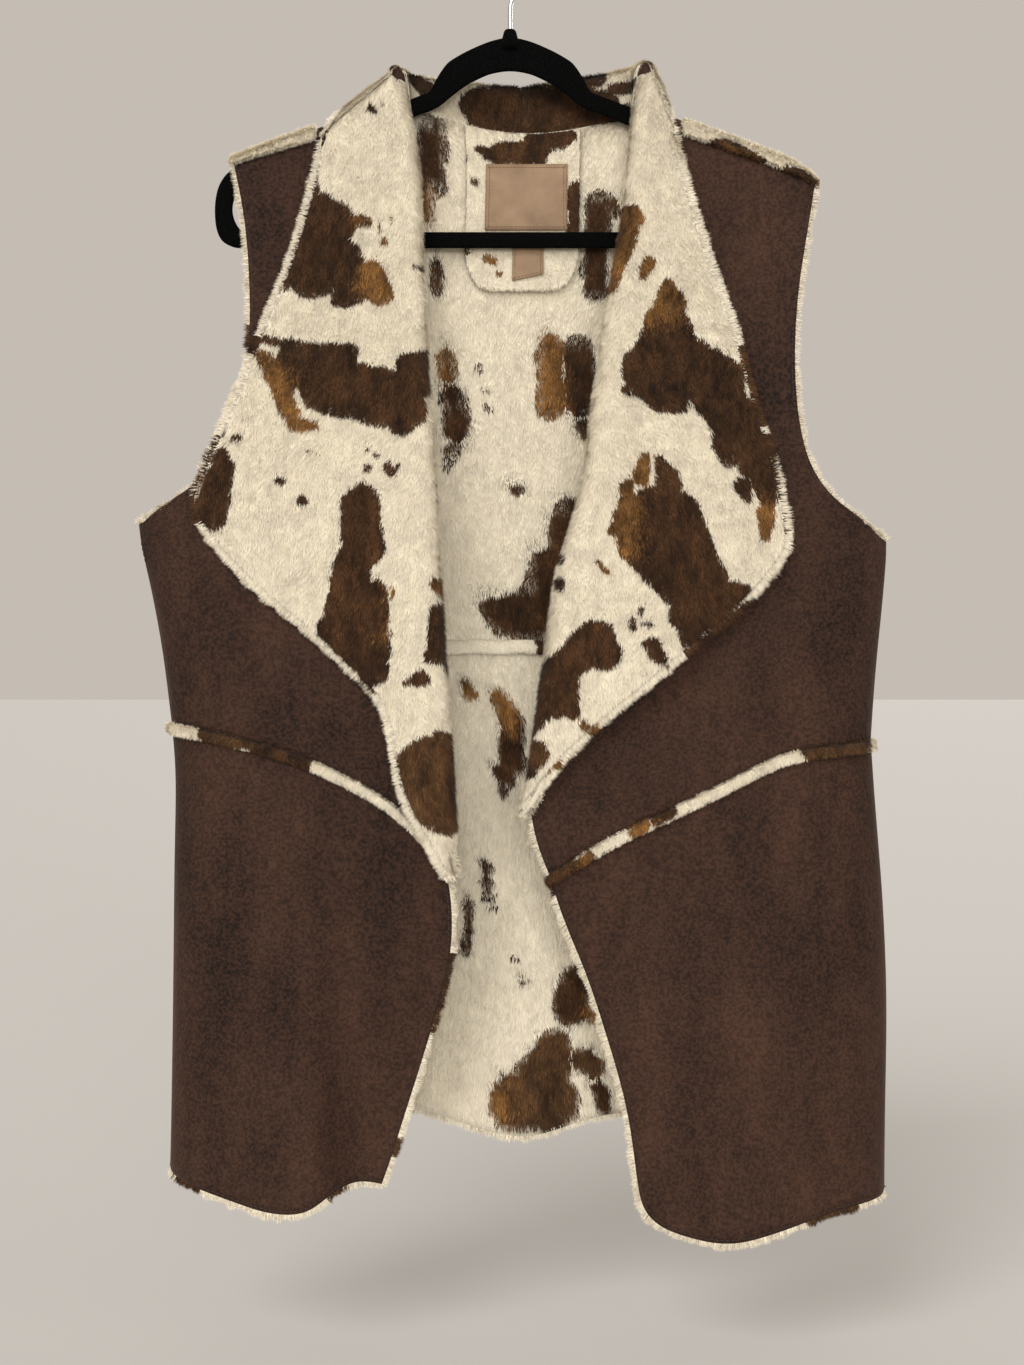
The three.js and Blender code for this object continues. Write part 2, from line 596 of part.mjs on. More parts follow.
function crossNormal(line, i, along, facing) {
  const before = line[Math.max(0, i - 1)];
  const after = line[Math.min(line.length - 1, i + 1)];
  return after.clone().sub(before).cross(along).normalize().multiplyScalar(facing);
}
function frontUpper(side) {
  const grid = frontGrids[side];
  const facing = inwards(side);
  const aboutNeck = seamRound(side);
  return wall(grid, WALL, side === 'right', (j, i) => {
    const p = grid[j][i];
    if (j === 0 && i < SHOULDER_COLS) return onShoulder(p.x, roundTo(p.x, p.z)).normal;
    if (j === 0) return crossNormal(grid[0].slice(SHOULDER_COLS), i - SHOULDER_COLS, aboutNeck, facing);
    if (i === 0 && j >= UNDERARM_ROW) return sideNormal(side);
    if (j === FRONT_ROWS && i < CHEST_COLS) return frontNormal(side, p.x, p.z);
    return null;
  });
}
add('right_front_upper', frontUpper('right').geometry, COLOURS.suede);
add('left_front_upper', frontUpper('left').geometry, COLOURS.suede);

// Lower fronts, from the waist seam to the hem, on the same columns
function frontLower(side) {
  const o = outlines[side];
  const columns = side === 'right' ? chestSteps : crowded;
  const shape = patch(
    path({ points: o.waist, until: 1 }),
    path({ points: o.hem, until: 1 }),
    path({ points: o.lowerSide, until: 1 }),
    path({ points: o.frontEdge, until: 1 }),
  );
  const grid = steps(LOWER_ROWS).map((t) => columns.map((s) => {
    const [x, z] = shape(s, t);
    return place(x, frontDepth(side, x, z), z - SEAM_GAP * (1 - t));
  }));
  return wall(grid, WALL, side === 'right', (j, i) => {
    const p = grid[j][i];
    if (i === 0) return sideNormal(side);
    return j === 0 ? frontNormal(side, p.x, p.z + SEAM_GAP) : null;
  });
}
const lowers = { right: frontLower('right'), left: frontLower('left') };
add('right_front_lower', lowers.right.geometry, COLOURS.suede);
add('left_front_lower', lowers.left.geometry, COLOURS.suede);

// The strip of the back that lies over a hanger's arm, from just behind it to the seam in front
function overShoulder(side) {
  const seam = path({ points: outlines[side].shoulder, until: 1 });
  const end = NECK_POINT[side] - inwards(side) * SEAM_GAP;
  const lap = 2;
  const normals = [];
  const grid = crowded.map((s) => {
    const [seamX, seamZ] = seam(s);
    const x = s === 1 ? end : seamX;
    const last = roundTo(x, seamZ) - SEAM_GAP;
    const line = steps(8).map((k) => onShoulder(x, lerp(-QUARTER - lap, last, k)));
    normals.push(line.map((p) => p.normal));
    return line.map((p) => p.point);
  });
  return wall(grid, WALL, side === 'left', (j, i) => normals[j][i]);
}
function backTop(s) {
  if (s >= BACK_SHARE && s <= 1 - BACK_SHARE) {
    const x = lerp(NECK_POINT.right, NECK_POINT.left, (s - BACK_SHARE) / (1 - 2 * BACK_SHARE));
    return [x, column(backNeck, 'x', 'z', x)];
  }
  const side = s < BACK_SHARE ? 'right' : 'left';
  const share = (s < BACK_SHARE ? s : 1 - s) / BACK_SHARE;
  const x = lerp(outlines[side].shoulder[0][0], NECK_POINT[side], share);
  return [x, ridgeZ(x) - WRAP_R];
}
function backEdge(side) {
  const o = outlines[side];
  const tip = o.armhole[0][0];
  const armhole = [[tip, ridgeZ(tip) - WRAP_R], ...o.armhole.slice(1)];
  return path({ points: armhole, until: UNDERARM_SHARE }, { points: o.side, until: 1 });
}
// Rows of the back, with one exactly at the underarm
const backRows = [
  ...steps(9).map((t) => t * UNDERARM_SHARE),
  ...steps(BACK_ROWS - 9).slice(1).map((t) => lerp(UNDERARM_SHARE, 1, t)),
];
const backWaist = path({ points: outlines.back.waist, until: 1 });
const backSideNormal = (i) => (i === 0 ? sideNormal('right') : sideNormal('left'));
const lastBack = backSteps.length - 1;
function backUpper() {
  const shape = patch(backTop, backWaist, backEdge('right'), backEdge('left'));
  const grid = backRows.map((t) => backSteps.map((s) => {
    const [x, z] = shape(s, t);
    const onArm = t === 0 && Math.abs(x - NECK_X) > ON_ARM.back;
    return place(x, onArm ? -WRAP_R : backDepth(x, z), z);
  }));
  return wall(grid, WALL, false, (j, i) => {
    const p = grid[j][i];
    if ((i === 0 || i === lastBack) && backRows[j] >= UNDERARM_SHARE) return backSideNormal(i);
    return j === 0 || j === BACK_ROWS ? backNormal(p.x, p.z) : null;
  });
}
const straps = { right: overShoulder('right'), left: overShoulder('left') };
const backPanel = backUpper();
const backParts = [backPanel, straps.right, straps.left].map((part) => solidOf(part.geometry));
add('back_upper', geometryOf(backParts[0].add(backParts[1]).add(backParts[2])), COLOURS.suede);

function backLower() {
  const shape = patch(
    backWaist,
    path({ points: outlines.back.hem, until: 1 }),
    path({ points: outlines.right.lowerSide, until: 1 }),
    path({ points: outlines.left.lowerSide, until: 1 }),
  );
  const grid = steps(LOWER_ROWS).map((t) => backSteps.map((s) => {
    const [x, z] = shape(s, t);
    return place(x, backDepth(x, z), z - SEAM_GAP * (1 - t));
  }));
  return wall(grid, WALL, false, (j, i) => {
    const p = grid[j][i];
    if (i === 0 || i === lastBack) return backSideNormal(i);
    return j === 0 ? backNormal(p.x, p.z + SEAM_GAP) : null;
  });
}
lowers.back = backLower();
add('back_lower', lowers.back.geometry, COLOURS.suede);

// The collar round the back of the neck: stand, roll and fall, in two halves
function collarLine(side, a) {
  const outward = -inwards(side);
  const at = (name) => column(collarRows[side], 'a', name, a);
  const x = NECK_X + outward * Math.max(at('x'), SEAM_GAP / 2);
  const edgeX = NECK_X + outward * Math.max(at('edgeX'), SEAM_GAP / 2);
  const onBack = smooth((a - FOOT_ON_BACK.from) / (FOOT_ON_BACK.to - FOOT_ON_BACK.from));
  const footZ = lerp(at('footZ'), column(backNeck, 'x', 'z', x) + NECK_GAP, onBack);
  const foot = place(x, lerp(at('footD'), backDepth(x, footZ), onBack), footZ);
  const top = place(x, at('topD'), at('topZ'));
  const edge = place(edgeX, at('edgeD'), at('edgeZ'));
  const out = new THREE.Vector3(outward * at('outX'), -at('outD'), 0).normalize();
  const line = steps(STAND_STEPS).map((w) => foot.clone().lerp(top, w));
  for (const k of steps(ROLL_COLS).slice(1)) {
    line.push(roll(top, new THREE.Vector3(0, 0, 1), out, COLLAR_ROLL, Math.PI * k));
  }
  const start = line[line.length - 1];
  for (const w of steps(LAPEL_COLS).slice(1)) {
    const p = start.clone().lerp(edge, w);
    p.addScaledVector(out, COLLAR_CROWN * w * (1 - w));
    line.push(clearOfBody(p, LAPEL_CLEAR));
  }
  return line;
}
function collarHalf(side) {
  const aboutNeck = seamRound(side);
  const back = aboutNeck.clone().multiplyScalar(SEAM_GAP);
  const shared = frontGrids[side][0].slice(CHEST_COLS).map((p) => p.clone().add(back));
  const stand = steps(STAND_STEPS).slice(0, -1).map((w) => {
    const foot = frontGrids[side][0][SHOULDER_COLS].clone().add(back);
    return foot.lerp(shared[0], w);
  });
  const first = [...stand, ...shared];
  const grid = [first, ...steps(COLLAR_STEPS).slice(1).map((a) => collarLine(side, a))];
  const middle = new THREE.Vector3(inwards(side), 0, 0);
  const facing = inwards(side);
  return wall(grid, WALL, side === 'left', (j, i) => {
    const p = grid[j][i];
    if (j === 0) return crossNormal(first, i, aboutNeck, facing);
    if (j === COLLAR_STEPS) return crossNormal(grid[j], i, middle, facing);
    if (i === 0 && j / COLLAR_STEPS >= FOOT_ON_BACK.to) return backNormal(p.x, p.z);
    return null;
  });
}
add('right_collar', collarHalf('right').geometry, COLOURS.pile);
add('left_collar', collarHalf('left').geometry, COLOURS.pile);

// Pile strips of the lapped seams: at the shoulders, behind the seam and clear of the collar, and
// at the waist, just below the seam.
const shoulderStripEnd = { right: -147, left: 131 };
function rowAtX(grid, x) {
  const j = grid.findIndex((line) => Math.abs(line[0].x) < Math.abs(x));
  return j - 1 + (x - grid[j - 1][0].x) / (grid[j][0].x - grid[j - 1][0].x);
}
function shoulderStrip(side) {
  const { face } = straps[side];
  const last = face[0].length - 1;
  const end = rowAtX(face, shoulderStripEnd[side]);
  const spacing = face[0][last].distanceTo(face[0][last - 1]);
  const rows = [0.1, ...face.map((_, j) => j).filter((j) => j > 0 && j < end), end];
  const columns = [last - STRIP.width / spacing, last - 1, last];
  const places = rows.map((j) => columns.map((i) => [j, i]));
  return coverOn(straps[side], places, false, LAID, STRIP.thick);
}
add('right_shoulder_strip', shoulderStrip('right'), COLOURS.pile);
add('left_shoulder_strip', shoulderStrip('left'), COLOURS.pile);

function waistStrip(base, from, to) {
  const { face } = base;
  const columns = [from, ...steps(face[0].length - 1).map((_, i) => i), to]
    .filter((i) => i >= from && i <= to)
    .filter((i, k, list) => k === 0 || i > list[k - 1]);
  const places = [0, 1].map((edge) => columns.map((i) => {
    const upper = onGrid(face, 0, i);
    return [(edge * STRIP.width) / upper.distanceTo(onGrid(face, 1, i)), i];
  }));
  return coverOn(base, places, false, LAID, STRIP.thick);
}
const waistStripEnd = { right: 14.2, left: SHOULDER_COLS }; // the column it reaches under the lapel
add('right_waist_strip', waistStrip(lowers.right, 0, waistStripEnd.right), COLOURS.pile);
add('left_waist_strip', waistStrip(lowers.left, 0, waistStripEnd.left), COLOURS.pile);
add('back_waist_strip', waistStrip(lowers.back, 0, lastBack), COLOURS.pile);

// Facing inside the back of the neck, with the two labels on it
const neckColumn = (x) => {
  const share = (x - NECK_POINT.right) / (NECK_POINT.left - NECK_POINT.right);
  return BACK_SIDE_COLS + share * BACK_NECK_COLS;
};
function rowAtZ(i, z) {
  const { face } = backPanel;
  let j = 0;
  while (j < face.length - 2 && onGrid(face, j + 1, i).z > z) j++;
  const upper = onGrid(face, j, i).z;
  return j + (upper - z) / (upper - onGrid(face, j + 1, i).z);
}
function insideBack(columns, rows, topZ, footZ, lift, thick) {
  const places = steps(rows).map((t) => steps(columns.count).map((s) => {
    const x = lerp(columns.from, columns.to, s);
    const i = neckColumn(x);
    return [rowAtZ(i, lerp(topZ(x), footZ(x), t)), i];
  }));
  return coverOn(backPanel, places, true, lift, thick);
}
const facingFoot = (x) => {
  const past = Math.max(0, Math.abs(x - FACING.x) - (FACING.half - FACING.corner));
  return FACING.foot + FACING.corner - Math.sqrt(Math.max(0, FACING.corner ** 2 - past ** 2));
};
const facingTop = (x) => column(backNeck, 'x', 'z', x) - FACING_DROP;
const facingColumns = { from: FACING.x - FACING.half, to: FACING.x + FACING.half, count: 16 };
add(
  'neck_facing',
  insideBack(facingColumns, 8, facingTop, facingFoot, LAID, FACING.thick),
  COLOURS.pile,
);
const onFacing = LAID + FACING.thick + SEAM_GAP;
function labelOn(shape, slant) {
  const columns = { from: shape.x - shape.width / 2, to: shape.x + shape.width / 2, count: 6 };
  const foot = (x) => shape.foot + slant * ((x - columns.from) / shape.width);
  return insideBack(columns, 4, () => shape.top, foot, onFacing, shape.thick);
}
add('neck_label', labelOn(LABEL, 0), COLOURS.label, 0.7);
add('care_label', labelOn(CARE_LABEL, CARE_LABEL.slant), COLOURS.label, 0.6);

// The hanger: a flat flocked frame with rounded edges, and a boss that holds the hook's wire
const hangerOuter = [
  [0, -74], [14, -76.5], [30, -83], [42, -89.5], [48, -94], [55, -104], [61, -114.5], [66, -117],
  [205, -170.9], [216, -179], [222, -192], [223, -212], [219, -226], [210, -232], [200, -233],
];
const hangerInner = [
  [0, -99], [14, -101], [24, -105], [34, -110.5], [44, -118], [52, -124.5], [60, -129],
  [69, -132], [196, -182], [206, -190], [210, -203], [207, -215], [200, -221],
];
const HANGER_EDGE = 2;
function mirrored(half) {
  const middle = half.filter(([x]) => x > 0).map(([x, z]) => [-x, z]).reverse();
  return [...middle, ...half].map(([x, z]) => new THREE.Vector2(x, z));
}
function hangerBody() {
  const rounded = {
    depth: ARM.thick - 2 * HANGER_EDGE,
    bevelThickness: HANGER_EDGE,
    bevelSize: HANGER_EDGE,
    bevelOffset: -HANGER_EDGE,
    bevelSegments: 2,
  };
  const plate = new THREE.ExtrudeGeometry(new THREE.Shape(mirrored(hangerOuter)), rounded);
  plate.translate(0, 0, HANGER_EDGE - ARM.thick / 2);
  const through = { depth: 2 * ARM.thick, bevelEnabled: false };
  const window = new THREE.ExtrudeGeometry(new THREE.Shape(mirrored(hangerInner)), through);
  window.translate(0, 0, -ARM.thick);
  for (const part of [plate, window]) part.rotateX(Math.PI / 2);
  const bossPoints = [[0, BOSS.foot], [BOSS.footR, BOSS.foot], [BOSS.footR, BOSS.foot + 3],
    [BOSS.topR, BOSS.top - BOSS_EDGE], [BOSS.topR - 1, BOSS.top], [0, BOSS.top]];
  const boss = new THREE.LatheGeometry(bossPoints.map(([r, z]) => new THREE.Vector2(r, z)), 20);
  boss.rotateX(Math.PI / 2);
  const boreDepth = BOSS.top - HOOK.foot + SEAM_GAP;
  const bore = new THREE.CylinderGeometry(HOOK.wire + SEAM_GAP, HOOK.wire + SEAM_GAP, boreDepth + 1, 16);
  bore.rotateX(Math.PI / 2);
  bore.translate(0, 0, BOSS.top + 0.5 - boreDepth / 2);
  const frame = solidOf(plate).subtract(solidOf(window)).add(solidOf(boss));
  return geometryOf(frame.subtract(solidOf(bore)));
}
add('hanger_body', hangerBody(), COLOURS.flock, 0.95);

// The hook: one wire that rises from the boss, leans out and turns over the origin
function hangerHook() {
  const radius = HOOK.inner + HOOK.wire;
  const centreZ = -HOOK.inner;
  const turn = THREE.MathUtils.degToRad(HOOK.turn);
  const tip = THREE.MathUtils.degToRad(HOOK.tip);
  const arc = steps(14).map((k) => {
    const angle = lerp(turn, tip, k);
    return new THREE.Vector3(radius * Math.cos(angle), 0, centreZ + radius * Math.sin(angle));
  });
  const stem = [HOOK.foot, -66, -54, -46].map((z) => new THREE.Vector3(0, 0, z));
  const lean = new THREE.Vector3(4.5, 0, -39.8);
  const curve = new THREE.CatmullRomCurve3([...stem, lean, ...arc], false, 'centripetal');
  const count = 34;
  const sides = 10;
  const rings = steps(count).map((t) => {
    const p = curve.getPointAt(t);
    const along = curve.getTangentAt(t);
    const over = new THREE.Vector3(along.z, 0, -along.x);
    return steps(sides).slice(0, -1).map((k) => {
      const angle = 2 * Math.PI * k;
      const q = p.clone().addScaledVector(over, HOOK.wire * Math.cos(angle));
      q.y += HOOK.wire * Math.sin(angle);
      return q;
    });
  });
  const ends = [curve.getPointAt(0), curve.getPointAt(1)];
  const positions = [...rings.flat(), ...ends].flatMap((p) => p.toArray());
  const index = [];
  const id = (ring, k) => ring * sides + (k % sides);
  for (let k = 0; k < sides; k++) {
    for (let r = 0; r < count; r++) {
      const [a, b, c, d] = [id(r, k), id(r, k + 1), id(r + 1, k + 1), id(r + 1, k)];
      index.push(a, b, c, a, c, d);
    }
    index.push((count + 1) * sides, id(0, k + 1), id(0, k));
    index.push((count + 1) * sides + 1, id(count, k), id(count, k + 1));
  }
  const geometry = new THREE.BufferGeometry();
  geometry.setAttribute('position', new THREE.Float32BufferAttribute(positions, 3));
  geometry.setIndex(index);
  return geometry;
}
add('hanger_hook', hangerHook(), COLOURS.wire, 0.3, 1);

export default vest;
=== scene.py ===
"""Western vest on its hanger: suede outside, cow print pile inside, a draped shawl collar."""
import itertools
import json
import math

import bmesh
import bpy
import numpy as np
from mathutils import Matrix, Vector
from mathutils.bvhtree import BVHTree
from mathutils.kdtree import KDTree

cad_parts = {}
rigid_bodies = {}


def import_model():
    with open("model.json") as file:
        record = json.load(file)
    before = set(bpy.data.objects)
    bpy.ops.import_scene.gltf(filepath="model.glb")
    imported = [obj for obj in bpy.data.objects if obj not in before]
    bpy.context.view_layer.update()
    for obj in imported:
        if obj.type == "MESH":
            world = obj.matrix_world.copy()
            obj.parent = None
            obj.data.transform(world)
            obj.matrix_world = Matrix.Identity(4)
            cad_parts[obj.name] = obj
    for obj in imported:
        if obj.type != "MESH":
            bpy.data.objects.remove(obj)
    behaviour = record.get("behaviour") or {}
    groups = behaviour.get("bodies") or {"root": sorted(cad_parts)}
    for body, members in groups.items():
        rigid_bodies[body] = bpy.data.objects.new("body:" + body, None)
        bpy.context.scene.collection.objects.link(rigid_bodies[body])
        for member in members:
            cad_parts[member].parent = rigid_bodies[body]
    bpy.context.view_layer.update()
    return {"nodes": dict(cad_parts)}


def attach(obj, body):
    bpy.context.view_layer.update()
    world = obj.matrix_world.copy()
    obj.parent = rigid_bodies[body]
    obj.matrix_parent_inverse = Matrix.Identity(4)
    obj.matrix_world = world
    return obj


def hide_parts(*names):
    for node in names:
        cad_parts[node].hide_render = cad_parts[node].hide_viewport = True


for left_over in list(bpy.data.objects):
    bpy.data.objects.remove(left_over)
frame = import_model()

# Measures in metres
WALL = 0.005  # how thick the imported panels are
PILE_DROP = 0.0028  # from a panel's pile side down to the pile's backing
EDGE_INSET = 0.0034  # the cloth's cut edge lies this far inside the pile that hangs over it
SEAM_REACH = 0.0011  # a rim this close to another panel is sewn to it
MIDDLE_X = 0.0085  # the vest's middle
SEAM_ZONES = (  # where a rim is sewn further off: how far from the middle, how deep, how close
    {"near": 0.235, "far": 0.300, "deep": 0.0045, "reach": 0.0072},
    {"near": 0.000, "far": 0.092, "deep": 0.0200, "reach": 0.0050},
)
STITCH_IN = 0.0033  # from the cut edge to the groove that the stitches pull into the pile
STITCH = {"in": 0.0022, "long": 0.0031, "step": 0.0041, "thick": 0.00042}  # on the suede side
# The side seams: their ends, how far the cloth gives, how far out and how deep their rims lie, and
# where a front and a back meet
SIDE_SEAM = {"top": -0.425, "foot": -0.965, "ease": 0.030, "out": 0.235, "deep": 0.009, "meet": 0.00003}
BACKING_PAINTED_SHADE = 0.75  # painted shade: the backing seen between the hairs is painted darker than the pile on it
SUEDE, PILE, SEAM, EDGE = range(4)  # which side of the cloth a face belongs to

# Camera: level, in front of the hanger
CAMERA = {"place": (0.0015, -1.6, -0.5617), "sensor": 36, "lens": 55.76}
camera_data = bpy.data.cameras.new("camera")
camera = bpy.data.objects.new("camera", camera_data)
bpy.context.scene.collection.objects.link(camera)
camera.location = CAMERA["place"]
camera.rotation_euler = (math.pi / 2, 0, 0)
camera_data.sensor_width = CAMERA["sensor"]
camera_data.lens = CAMERA["lens"]
bpy.context.scene.camera = camera
bpy.context.scene.view_settings.view_transform = "Standard"


HASH = {"x": 374761393, "y": 668265263, "z": 1440662683, "seed": 97531, "turn": 1274126177}


# Smooth lattice noise from -1 to 1 at each point
def noise(points, size, seed):
    at = points / size
    cell = np.floor(at).astype(np.int64)
    part = at - cell
    part = part * part * (3 - 2 * part)
    total = np.zeros(len(points))
    for corner in itertools.product((0, 1), repeat=3):
        c = cell + np.array(corner)
        key = c[:, 0] * HASH["x"] + c[:, 1] * HASH["y"] + c[:, 2] * HASH["z"] + seed * HASH["seed"]
        key = (key ^ (key >> 13)) * HASH["turn"]
        value = ((key ^ (key >> 16)) & 0xFFFF) / 32767.5 - 1
        weight = np.where(corner, part, 1 - part).prod(axis=1)
        total += value * weight
    return total


def unit(v):
    return v / np.maximum(np.linalg.norm(v, axis=-1, keepdims=True), 1e-12)


